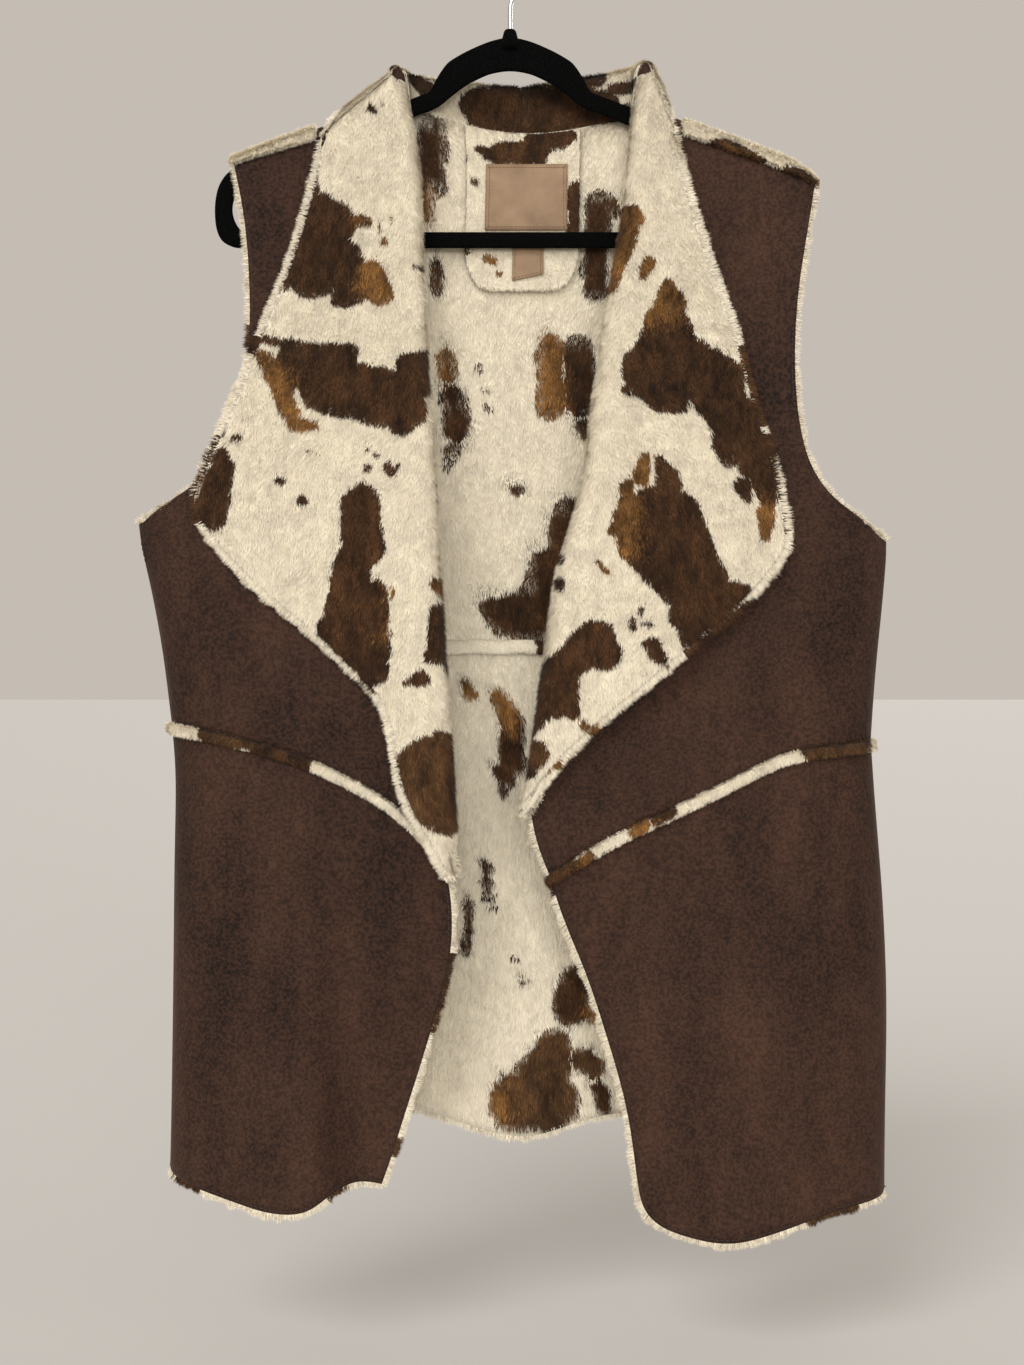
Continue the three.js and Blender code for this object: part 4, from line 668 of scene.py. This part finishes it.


# The pile of a panel: hairs on its pile side that lie down with the nap, and hairs that stand out
# over its cut edges. In the grooves along stitches and seams the hairs are shorter, and painted shade darkens
# them.
def pile_parts(obj, table, count, weigh, seed, rng):
    points, normals, triangles, sides = arrays(obj)
    on_pile = triangles[sides == PILE]
    weights = weigh(points[on_pile].mean(axis=1), normals[on_pile].mean(axis=1))
    roots, _, up = scatter(points, normals, on_pile, weights, count, rng)
    drift = swirl(roots, 0.03, range(seed + 1, seed + 4))
    clump = swirl(roots, 0.0045, range(seed + 4, seed + 7))
    nap = flat_to(NAP + 0.35 * drift + 0.3 * clump + rng.normal(0, 0.2, (count, 3)), up)
    to_edge, out = reach_of(roots, nearest_of(border_lines(obj, PILE, EDGE), 0.0008))
    to_seam, _ = reach_of(roots, nearest_of(border_lines(obj, PILE, SEAM), 0.0008))
    brim = to_edge < STITCH_IN
    turned = flat_to(out + 0.15 * NAP + rng.normal(0, 0.16, (count, 3)), up)
    nap = np.where(brim[:, None], turned, nap)
    groove = np.exp(-(((to_edge - STITCH_IN) / GROOVE["stitched"]) ** 2))
    groove = np.minimum(groove + 0.7 * np.exp(-((to_seam / GROOVE["sewn"]) ** 2)), 1)
    rise = np.radians(rng.uniform(20, 38, count) + 6 * noise(roots, 0.008, seed + 7))
    lean = nap * np.cos(rise)[:, None] + up * np.sin(rise)[:, None]
    longest = (PILE_DROP + 0.0003) / np.maximum(np.sin(rise), 0.3)
    lengths = np.minimum(rng.uniform(*HAIR_LENGTH, count), longest) * (1 - 0.6 * groove)
    lengths = short_of_cloth(obj, roots + up * 0.0004, lean, lengths)
    colours = print_colours(roots, table, seed)
    if brim.any() and table != "herd":
        colours[brim] = print_colours(roots[brim], "edge", seed)
    # Painted shade: hairs in the stitch grooves and along the seams are darkened
    return roots, up, lean, lengths, colours * (1 - 0.5 * groove)[:, None]


# The fringe: hairs that stand out from the cut edges
def brim_parts(obj, count, table, rng, seed):
    points, normals, triangles, sides = arrays(obj)
    roots, out, up = scatter(points, normals, triangles[sides == EDGE], 1.0, count, rng)
    tuft = swirl(roots, 0.0035, range(seed + 31, seed + 34))
    lean = unit(out + 0.3 * up + 0.7 * tuft + rng.normal(0, 0.25, (count, 3)) + 0.2 * NAP)
    lengths = rng.uniform(*BRIM_LENGTH, count) * (1 + 0.4 * noise(roots, 0.006, seed + 34))
    across = unit(up + rng.normal(0, 0.4, (count, 3)))
    return roots, across, lean, lengths, print_colours(roots, table, seed)


# All hairs of a piece as one mesh, their roots darkened by painted shade, the dark ones of uneven shade
def hair_object(name, parts, rng, seed):
    roots, up, lean, lengths, colours = (np.concatenate(rows) for rows in zip(*parts))
    count = len(roots)
    widths = rng.uniform(*HAIR_WIDTH, count)
    shade = rng.uniform(0.82, 1.1, count) * (1 + 0.09 * noise(roots, 0.005, seed + 8))
    dark = colours[:, 0] < 0.4
    shade = np.where(dark, shade * rng.uniform(0.5, 1.75, count), shade)
    per_point = np.repeat(colours * shade[:, None], 3, axis=0).reshape(-1, 3, 3)
    # Painted shade: the two root corners of each hair are darker than its tip
    per_point[:, :2] *= 0.8
    made, triangles = hairs(roots, up, lean, lengths, widths)
    obj = new_object(name, mesh_of(name, made, triangles, per_point.reshape(-1, 3)))
    obj.data.materials.append(MATERIALS["pile"])
    return obj


# Stitches: short spindles of thread along a line on a surface
def stitches(name, rows, mat, size):
    centres, along, up = (np.concatenate(part) for part in zip(*rows))
    side = unit(np.cross(along, up))
    half, r = size["long"] / 2, size["thick"]
    rings = []
    for reach, girth in ((-half, 0.35), (-half * 0.6, 1), (half * 0.6, 1), (half, 0.35)):
        for k in range(5):
            angle = 2 * math.pi * k / 5
            lift = math.cos(angle) * r * girth - (0.4 * r if girth < 1 else 0)
            rings.append(centres + along * reach + side * (math.sin(angle) * r * girth) + up * lift)
    points = np.stack(rings, axis=1)
    faces = []
    for ring in range(3):
        for k in range(5):
            a, b = ring * 5 + k, ring * 5 + (k + 1) % 5
            faces += [(a, b, b + 5), (a, b + 5, a + 5)]
    faces += [(0, k + 1, k) for k in (1, 2, 3)] + [(15, 15 + k, 16 + k) for k in (1, 2, 3)]
    base = np.arange(len(centres))[:, None, None] * 20
    triangles = (np.array(faces)[None] + base).reshape(-1, 3)
    obj = new_object(name, mesh_of(name, points.reshape(-1, 3), triangles))
    obj.data.materials.append(MATERIALS[mat])
    for p in obj.data.polygons:
        p.use_smooth = True
    return obj


# Where the stitches along a border go, and which way they run and face
def stitch_rows(obj, lines, inwards, size):
    tree = search_tree(obj.data)
    rows = []
    for line in lines:
        places, away, _ = walked(line, size["step"])
        if len(places) < 4:
            continue
        spots = places - unit(away) * inwards
        found = [tree.find_nearest(Vector(p)) for p in spots]
        at = np.array([f[0] for f in found])
        up = np.array([f[1] for f in found])
        along = flat_to(np.gradient(at, axis=0), up)
        rows.append((at + up * size["thick"] * 0.5, along, up))
    return rows


# Materials
def material(name, colour, roughness):
    mat = bpy.data.materials.new(name)
    mat.use_nodes = True
    shader = mat.node_tree.nodes["Principled BSDF"]
    shader.inputs["Base Color"].default_value = (*colour, 1)
    shader.inputs["Roughness"].default_value = roughness
    return mat, mat.node_tree, shader


def sheen(shader, weight, roughness, tint):
    shader.inputs["Sheen Weight"].default_value = weight
    shader.inputs["Sheen Roughness"].default_value = roughness
    shader.inputs["Sheen Tint"].default_value = (*tint, 1)


def object_space(tree, scale=(1, 1, 1)):
    place = tree.nodes.new("ShaderNodeTexCoord")
    stretch = tree.nodes.new("ShaderNodeMapping")
    stretch.inputs["Scale"].default_value = scale
    tree.links.new(place.outputs["Object"], stretch.inputs["Vector"])
    return stretch.outputs["Vector"]


def cloud(tree, vector, scale, detail=3, low=0.3, high=0.7):
    texture = tree.nodes.new("ShaderNodeTexNoise")
    texture.inputs["Scale"].default_value = scale
    texture.inputs["Detail"].default_value = detail
    tree.links.new(vector, texture.inputs["Vector"])
    ramp = tree.nodes.new("ShaderNodeMapRange")
    ramp.inputs["From Min"].default_value = low
    ramp.inputs["From Max"].default_value = high
    tree.links.new(texture.outputs["Fac"], ramp.inputs["Value"])
    return ramp.outputs["Result"]


def weighed(tree, parts):
    total = None
    for value, weight in parts:
        node = tree.nodes.new("ShaderNodeMath")
        node.operation = "MULTIPLY_ADD"
        node.inputs[1].default_value = weight
        node.inputs[2].default_value = 0
        tree.links.new(value, node.inputs[0])
        if total is not None:
            tree.links.new(total, node.inputs[2])
        total = node.outputs[0]
    return total


def mixed(tree, factor, first, second):
    mix = tree.nodes.new("ShaderNodeMix")
    mix.data_type = "RGBA"
    mix.inputs["A"].default_value = (*first, 1)
    mix.inputs["B"].default_value = (*second, 1)
    tree.links.new(factor, mix.inputs["Factor"])
    return mix.outputs["Result"]


def bumped(tree, shader, height, distance, strength=1.0):
    bump = tree.nodes.new("ShaderNodeBump")
    bump.inputs["Strength"].default_value = strength
    bump.inputs["Distance"].default_value = distance
    tree.links.new(height, bump.inputs["Height"])
    tree.links.new(bump.outputs["Normal"], shader.inputs["Normal"])


def tinted_material(name, roughness):
    mat, tree, shader = material(name, (0.8, 0.74, 0.64), roughness)
    shader.inputs["Specular IOR Level"].default_value = 0.2
    sheen(shader, 0.1, 0.5, (1, 0.95, 0.88))
    tint = tree.nodes.new("ShaderNodeAttribute")
    tint.attribute_name = "tint"
    tree.links.new(tint.outputs["Color"], shader.inputs["Base Color"])
    return mat


def suede_material():
    mat, tree, shader = material("suede", (0.05, 0.03, 0.025), 0.88)
    shader.inputs["Specular IOR Level"].default_value = 0.25
    sheen(shader, 0.10, 0.35, (0.70, 0.46, 0.34))
    even = object_space(tree)
    hanging = object_space(tree, (1, 1, 0.3))
    parts = (
        (cloud(tree, hanging, 34, 4, 0.36, 0.66), 0.26),
        (cloud(tree, hanging, 11, 3, 0.35, 0.65), 0.22),
        (cloud(tree, even, 110, 3, 0.34, 0.66), 0.12),
        (cloud(tree, even, 420, 2, 0.38, 0.62), 0.40),
    )
    colour = mixed(tree, weighed(tree, parts), (0.005, 0.0020, 0.0011), (0.071, 0.0322, 0.0185))
    tree.links.new(colour, shader.inputs["Base Color"])
    grain = weighed(tree, (
        (cloud(tree, even, 520, 4, 0.2, 0.8), 0.35),
        (cloud(tree, even, 170, 2, 0.2, 0.8), 0.30),
        (cloud(tree, hanging, 55, 2, 0.2, 0.8), 0.35)))
    bumped(tree, shader, grain, 0.0016, 0.6)
    return mat


def flock_material():
    mat, tree, shader = material("flock", (0.002,) * 3, 0.97)
    shader.inputs["Specular IOR Level"].default_value = 0.05
    sheen(shader, 0.06, 0.35, (0.30,) * 3)
    even = object_space(tree)
    colour = mixed(tree, cloud(tree, even, 700, 3, 0.45, 0.8), (0.0012,) * 3, (0.005,) * 3)
    tree.links.new(colour, shader.inputs["Base Color"])
    bumped(tree, shader, cloud(tree, even, 1400, 2, 0.2, 0.8), 0.0003, 0.6)
    return mat


def wire_material():
    mat, tree, shader = material("wire", (0.62, 0.63, 0.63), 0.18)
    shader.inputs["Metallic"].default_value = 1
    bumped(tree, shader, cloud(tree, object_space(tree, (1, 1, 0.05)), 900, 2, 0.3, 0.7), 0.00004, 0.5)
    return mat


def woven_material(name, first, second):
    mat, tree, shader = material(name, first, 0.62)
    sheen(shader, 0.15, 0.4, (1, 0.9, 0.75))
    threads = []
    for direction in ("X", "Z"):
        wave = tree.nodes.new("ShaderNodeTexWave")
        wave.bands_direction = direction
        wave.inputs["Scale"].default_value = 420
        wave.inputs["Distortion"].default_value = 0.4
        tree.links.new(object_space(tree), wave.inputs["Vector"])
        threads.append((wave.outputs["Fac"], 0.5))
    weave = weighed(tree, threads)
    blotch = weighed(tree, ((cloud(tree, object_space(tree), 60, 4), 0.65), (weave, 0.35)))
    tree.links.new(mixed(tree, blotch, first, second), shader.inputs["Base Color"])
    bumped(tree, shader, weave, 0.0002, 0.6)
    return mat


def thread_material(name, colour):
    mat, tree, shader = material(name, colour, 0.7)
    bumped(tree, shader, cloud(tree, object_space(tree), 2500, 1), 0.0001, 0.5)
    return mat


MATERIALS = {
    "suede": suede_material(),
    "backing": tinted_material("pile_backing", 0.95),
    "pile": tinted_material("pile", 0.85),
    "flock": flock_material(),
    "wire": wire_material(),
    "woven": woven_material("label_cloth", (0.19, 0.112, 0.058), (0.33, 0.215, 0.122)),
    "suede_thread": thread_material("suede_thread", (0.032, 0.019, 0.016)),
    "label_thread": thread_material("label_thread", (0.15, 0.088, 0.045)),
}


# Puts a piece on the body, in place of the nodes it replaces
def keep(obj, slot, *nodes):
    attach(obj, "root")
    if nodes:
        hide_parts(*nodes)
    return obj


# How dense the pile is at each place: densest where the view shows it
def lapel_first(places, normals):
    return np.where(normals[:, 1] < 0.35, 1.0, 0.14)


def opening_first(places, normals):
    return np.where((places[:, 0] > -0.125) & (places[:, 0] < 0.13), 1.0, 0.3)


def evenly(places, normals):
    return np.ones(len(places))


# Folds: how they lean in degrees, their size across and along and their height in metres, a seed
FOLDS = (
    (8, 0.045, 0.21, 0.0030, 401),
    (-24, 0.020, 0.085, 0.0016, 402),
    (36, 0.013, 0.050, 0.0011, 403),
    (0, 0.009, 0.018, 0.0005, 404),
)
WRINKLED = {"right_front_lower": 1.0, "left_front_lower": 1.0, "back_lower": 0.7,
            "right_front_upper": 0.6, "left_front_upper": 0.6, "back_upper": 0.45}
FURS = {
    "right_front_upper": {"table": "front_right", "pile": 134000, "brim": 15000, "weigh": lapel_first},
    "left_front_upper": {"table": "front_left", "pile": 134000, "brim": 15000, "weigh": lapel_first},
    "right_front_lower": {"table": "herd", "pile": 20000, "brim": 14000, "weigh": evenly},
    "left_front_lower": {"table": "herd", "pile": 20000, "brim": 14000, "weigh": evenly},
    "back_upper": {"table": "inside", "pile": 100000, "brim": 9000, "weigh": opening_first},
    "back_lower": {"table": "inside", "pile": 68000, "brim": 9000, "weigh": opening_first},
    "right_collar": {"table": "neck", "pile": 28000, "brim": 3500, "weigh": evenly},
    "left_collar": {"table": "neck", "pile": 28000, "brim": 3500, "weigh": evenly},
}
HAIR_SHARE = 1.0

# The panels
for seed, (node, panel) in enumerate(PANELS.items(), start=101):
    bm = welded(node)
    sort_sides(bm, node, panel)
    if "collar" not in node:
        close_sides(bm, panel["suede"])
    thin_cloth(bm, PILE_DROP, EDGE_INSET)
    cloth = subdivided(bm, "cloth_" + node, panel["levels"], ("suede", "backing", "suede", "backing"))
    if node in WRINKLED:
        wrinkle(cloth, [(*f[:3], f[3] * WRINKLED[node], f[4]) for f in FOLDS])
    fur = FURS[node]
    # The backing takes the print's colours, darkened by painted shade
    add_tint(cloth.data, print_colours(arrays(cloth)[0], fur["table"], seed) * BACKING_PAINTED_SHADE)
    rng = np.random.default_rng(seed)
    parts = [
        pile_parts(cloth, fur["table"], int(fur["pile"] * HAIR_SHARE), fur["weigh"], seed, rng),
        brim_parts(cloth, int(fur["brim"] * HAIR_SHARE), "edge", rng, seed),
    ]
    hair = hair_object("pile_" + node, parts, rng, seed)
    keep(cloth, "suede", node)
    keep(hair, "pile")
    rows = stitch_rows(cloth, border_lines(cloth, SUEDE, EDGE), STITCH["in"], STITCH)
    if rows:
        keep(stitches("stitches_" + node, rows, "suede_thread", STITCH), "suede")

# Pile strips of the lapped seams and the facing inside the neck: a thin core under its own pile
TRIM_HAIR = (0.0022, 0.0036)
STRIP = {"table": "strip", "drop": 0.0001, "loose": 0.9}
TRIMS = {
    "right_shoulder_strip": {
        **STRIP, "on": "cloth_right_front_upper", "pile": 7000, "flat": (0.010, 0.090), "out": (0, -1, -0.4)},
    "left_shoulder_strip": {
        **STRIP, "on": "cloth_left_front_upper", "pile": 9000, "flat": (0.010, 0.164), "out": (0, -1, -0.4)},
    "right_waist_strip": {
        **STRIP, "on": "cloth_right_front_lower", "pile": 13000, "flat": (0.010, 0.209), "out": (0, -0.1, -1)},
    "left_waist_strip": {
        **STRIP, "on": "cloth_left_front_lower", "pile": 15000, "flat": (0.010, 0.278), "out": (0, -0.1, -1)},
    "back_waist_strip": {
        **STRIP, "on": "cloth_back_lower", "pile": 16000, "flat": (0.010, 0.554), "out": (0, 0.1, -1),
        "table": "herd"},
    "neck_facing": {
        "on": "cloth_back_upper", "table": "facing", "drop": 0.0009, "loose": 0.4, "pile": 34000,
        "flat": (0.093, 0.122), "area": 0.0111, "out": (0, -0.1, -1)},
}
for seed, (node, trim) in enumerate(TRIMS.items(), start=201):
    bm = welded(node)
    fold_weights(bm, 0.55)
    moves = {v: v.normal * -trim["drop"] for v in bm.verts}
    for v, move in moves.items():
        v.co += move
    for f in bm.faces:
        f.smooth = True
    core = subdivided(bm, "core_" + node, 2, ("backing",))
    points, normals, triangles, _ = arrays(core)
    # The core takes the print's colours, darkened by painted shade
    add_tint(core.data, print_colours(points, trim["table"], seed) * BACKING_PAINTED_SHADE)
    rng = np.random.default_rng(seed)
    count = int(trim["pile"] * HAIR_SHARE)
    roots, _, up = scatter(points, normals, triangles, np.ones(len(triangles)), count, rng)
    tuft = rng.normal(0, 0.3, (count, 3)) + swirl(roots, 0.004, range(seed + 1, seed + 4))
    nap = flat_to(np.array(trim["out"], float) + trim["loose"] * tuft, up)
    rise = np.radians(rng.uniform(14, 30 + 28 * trim["loose"], count))
    lean = nap * np.cos(rise)[:, None] + up * np.sin(rise)[:, None]
    parts = [(roots, up, lean, rng.uniform(*TRIM_HAIR, count), print_colours(roots, trim["table"], seed))]
    hair = hair_object("pile_" + node, parts, rng, seed)
    keep(core, "pile", node)
    keep(hair, "pile")
    trim.get("area")


# The welt inside the back's waist seam: a folded band with an oval section
WELT = {"x0": -0.075, "x1": 0.027, "z": -0.534, "tall": 0.0050, "deep": 0.0014, "dark_from": 0.020,
        "step": 0.002, "sides": 10, "hair": (0.0016, 0.0026), "pile": 7000, "seed": 251}
sides = WELT["sides"]
points = []
for x in np.arange(WELT["x0"], WELT["x1"], WELT["step"]):
    hit = trees["back_upper"].ray_cast(Vector((x, -0.2, WELT["z"] + 0.004)), Vector((0, 1, 0)))[0]
    for k in range(sides):
        angle = 2 * math.pi * k / sides
        y = hit.y - 0.0002 - WELT["deep"] * math.cos(angle)
        z = WELT["z"] + WELT["tall"] * math.sin(angle) + 0.0004 * math.sin(hit.x * 190)
        points.append((hit.x, y, z))
last = len(points) - sides
faces = []
for row in range(0, last, sides):
    for k in range(sides):
        a = row + k
        b = row + (k + 1) % sides
        faces += [(a, b, b + sides), (a, b + sides, a + sides)]
faces += [(0, k + 1, k) for k in range(1, sides - 1)]
faces += [(last, last + k, last + k + 1) for k in range(1, sides - 1)]


def welt_colours(at):
    edge = at[:, 0] + 0.0015 * noise(at, 0.003, 41)
    return np.where((edge > WELT["dark_from"])[:, None], TINTS["dark"], TINTS["cream"])


bm = bmesh.new()
bm.from_mesh(mesh_of("welt", np.array(points), np.array(faces)))
bmesh.ops.recalc_face_normals(bm, faces=bm.faces)
for f in bm.faces:
    f.smooth = True
welt = subdivided(bm, "back_waist_welt", 1, ("backing",))
points, normals, triangles, _ = arrays(welt)
# The welt's backing colours are darkened by painted shade
add_tint(welt.data, welt_colours(points) * BACKING_PAINTED_SHADE)
rng = np.random.default_rng(WELT["seed"])
count = int(WELT["pile"] * HAIR_SHARE)
roots, _, up = scatter(points, normals, triangles, np.ones(len(triangles)), count, rng)
nap = flat_to(NAP + rng.normal(0, 0.3, (count, 3)), up)
lean = unit(nap + 0.35 * up)
parts = [(roots, up, lean, rng.uniform(*WELT["hair"], count), welt_colours(roots))]
hair = hair_object("pile_back_waist_welt", parts, rng, WELT["seed"])
keep(welt, "pile")
keep(hair, "pile")


# The two labels, left bare, with their border of stitches
LABELS = {
    "neck_label": {"flat": (0.067, 0.052), "curl": 0.0006, "in": 0.0028},
    "care_label": {"flat": (0.025, 0.025), "curl": 0.0012, "in": 0.0020},
}
LABEL_STITCH = {"long": 0.0021, "step": 0.0028, "thick": 0.00024}
for seed, (node, label) in enumerate(LABELS.items(), start=301):
    bm = welded(node)
    fold_weights(bm, 1.0)
    for f in bm.faces:
        f.smooth = True
        front = abs(f.normal.y) > 0.6
        f.material_index = (SUEDE if f.normal.y < 0 else PILE) if front else EDGE
    cloth = subdivided(bm, "cloth_" + node, 2, ("woven",) * 4)
    points = arrays(cloth)[0]
    points[:, 1] -= label["curl"] * (0.5 + 0.5 * noise(points * (1, 0, 1), 0.012, seed))
    cloth.data.vertices.foreach_set("co", points.ravel())
    cloth.data.update()
    rows = stitch_rows(cloth, border_lines(cloth, SUEDE, EDGE), label["in"], LABEL_STITCH)
    border = keep(stitches("stitches_" + node, rows, "label_thread", LABEL_STITCH), "label")
    keep(cloth, "label", node)


# The hanger: the frame's outline and window, in millimetres for the half at +X, joined smoothly
HANGER_OUT = [
    (0, -74), (14, -76.5), (30, -83), (42, -89.5), (48, -94), (55, -104), (61, -114.5), (66, -117),
    (205, -170.9), (216, -179), (222, -192), (223, -212), (219, -226), (210, -232), (200, -233),
]
HANGER_IN = [
    (0, -99), (14, -101), (24, -105), (34, -110.5), (44, -118), (52, -124.5), (60, -129),
    (69, -132), (196, -182), (206, -190), (210, -203), (207, -215), (200, -221),
]
ARM_THICK = 0.0055
ARM_ROUND = 0.0020


def rounded_outline(half, per=6):
    mirrored = [(-x, z) for x, z in reversed(half) if x > 0] + list(half)
    rows = []
    n = len(mirrored)
    for i in range(n):
        p0, p1, p2, p3 = (np.array(mirrored[(i + k) % n], float) for k in (-1, 0, 1, 2))
        span = np.linalg.norm(p2 - p1)
        leave, arrive = unit(p2 - p0) * span, unit(p3 - p1) * span
        for t in ([0.0] if span > 60 else np.arange(per) / per):
            rows.append(
                (2 * t ** 3 - 3 * t ** 2 + 1) * p1 + (t ** 3 - 2 * t ** 2 + t) * leave
                + (3 * t ** 2 - 2 * t ** 3) * p2 + (t ** 3 - t ** 2) * arrive)
    return np.array(rows) / 1000


def hanger_frame():
    curve = bpy.data.curves.new("hanger_outline", "CURVE")
    curve.dimensions = "2D"
    curve.fill_mode = "BOTH"
    for half in (HANGER_OUT, HANGER_IN):
        outline = rounded_outline(half)
        spline = curve.splines.new("POLY")
        spline.points.add(len(outline) - 1)
        spline.points.foreach_set("co", [c for x, z in outline for c in (x, z, 0, 1)])
        spline.use_cyclic_u = True
    curve.extrude = ARM_THICK / 2 - ARM_ROUND
    curve.bevel_depth = ARM_ROUND
    curve.bevel_resolution = 3
    curve.offset = -ARM_ROUND
    flat = new_object("hanger_outline", curve)
    mesh = final_mesh(flat)
    bpy.data.objects.remove(flat)
    for v in mesh.vertices:
        v.co = (v.co.x, -v.co.z, v.co.y)
    return mesh


def lathe(profile, sides):
    rows = [(r * math.cos(2 * math.pi * k / sides), r * math.sin(2 * math.pi * k / sides), z)
            for r, z in profile for k in range(sides)]
    faces = []
    for ring in range(len(profile) - 1):
        for k in range(sides):
            a, b = ring * sides + k, ring * sides + (k + 1) % sides
            faces.append((a, b, b + sides, a + sides))
    return rows, faces


# The boss: radius and height of its rings
BOSS = [
    (0.0001, -0.083), (0.0062, -0.083), (0.0074, -0.0815), (0.0072, -0.079), (0.0060, -0.0745),
    (0.0050, -0.0705), (0.0046, -0.0692), (0.0036, -0.0680), (0.0021, -0.0678), (0.0019, -0.0700),
]
frame_mesh = hanger_frame()
boss_points, boss_faces = lathe(BOSS, 28)
bm = bmesh.new()
bm.from_mesh(frame_mesh)
boss_verts = [bm.verts.new(p) for p in boss_points]
for face in boss_faces:
    bm.faces.new([boss_verts[i] for i in face])
bmesh.ops.remove_doubles(bm, verts=bm.verts, dist=1e-7)
bmesh.ops.recalc_face_normals(bm, faces=bm.faces)
for f in bm.faces:
    f.smooth = f.calc_area() < 2e-4
bm.to_mesh(frame_mesh)
bm.free()
hanger = new_object("hanger_frame", frame_mesh)
hanger.data.materials.append(MATERIALS["flock"])
keep(hanger, "flock", "hanger_body")

HOOK = {"wire": 0.0017, "inner": 0.020, "turn": -48, "tip": 205}
hook_radius = HOOK["inner"] + HOOK["wire"]
hook_path = [(0, -0.078), (0, -0.070), (0, -0.060), (0, -0.052), (0.0006, -0.0465), (0.0045, -0.0398)]
for k in range(1, 29):
    angle = math.radians(HOOK["turn"] + (HOOK["tip"] - HOOK["turn"]) * k / 28)
    hook_path.append((hook_radius * math.cos(angle), -HOOK["inner"] + hook_radius * math.sin(angle)))
curve = bpy.data.curves.new("hook", "CURVE")
curve.dimensions = "3D"
curve.bevel_depth = HOOK["wire"]
curve.bevel_resolution = 4
curve.use_fill_caps = True
spline = curve.splines.new("NURBS")
spline.points.add(len(hook_path) - 1)
spline.points.foreach_set("co", [c for x, z in hook_path for c in (x, 0, z, 1)])
spline.use_endpoint_u = True
spline.order_u = 4
spline.resolution_u = 3
hook = new_object("hook_wire", curve)
mesh = final_mesh(hook)
bpy.data.objects.remove(hook)
hook = new_object("hook_wire", mesh)
hook.data.materials.clear()
hook.data.materials.append(MATERIALS["wire"])
for p in hook.data.polygons:
    p.use_smooth = True
keep(hook, "wire", "hanger_hook")

# The light and the floor
world = bpy.data.worlds.new("world")
bpy.context.scene.world = world
world.use_nodes = True
world.node_tree.nodes["Background"].inputs["Color"].default_value = (0.556, 0.508, 0.455, 1)
world.node_tree.nodes["Background"].inputs["Strength"].default_value = 1.0


# A broad, soft light from one direction
def soft_light(name, place, power):
    data = bpy.data.lights.new(name, "SUN")
    data.angle = 0.5
    data.energy = power
    light = new_object(name, data)
    light.location = place
    light.rotation_mode = "QUATERNION"
    light.rotation_quaternion = Vector(place).to_track_quat("Z", "Y")


soft_light("key", (-1.6, -3.4, 2.6), 1.40)
soft_light("front", (0.5, -4.0, 0.5), 1.65)
soft_light("back", (1.0, 4.0, 1.6), 1.3)

FLOOR_Z = -1.06
FLOOR_HALF = 60
floor_mesh = bpy.data.meshes.new("floor")
floor_mesh.from_pydata(
    [(x * FLOOR_HALF, y * FLOOR_HALF, FLOOR_Z) for x, y in ((-1, -1), (1, -1), (1, 1), (-1, 1))],
    [], [(0, 1, 2, 3)])
floor = new_object("floor", floor_mesh)
floor_mat, _, _ = material("floor", (0.555, 0.535, 0.51), 0.95)
floor_mesh.materials.append(floor_mat)
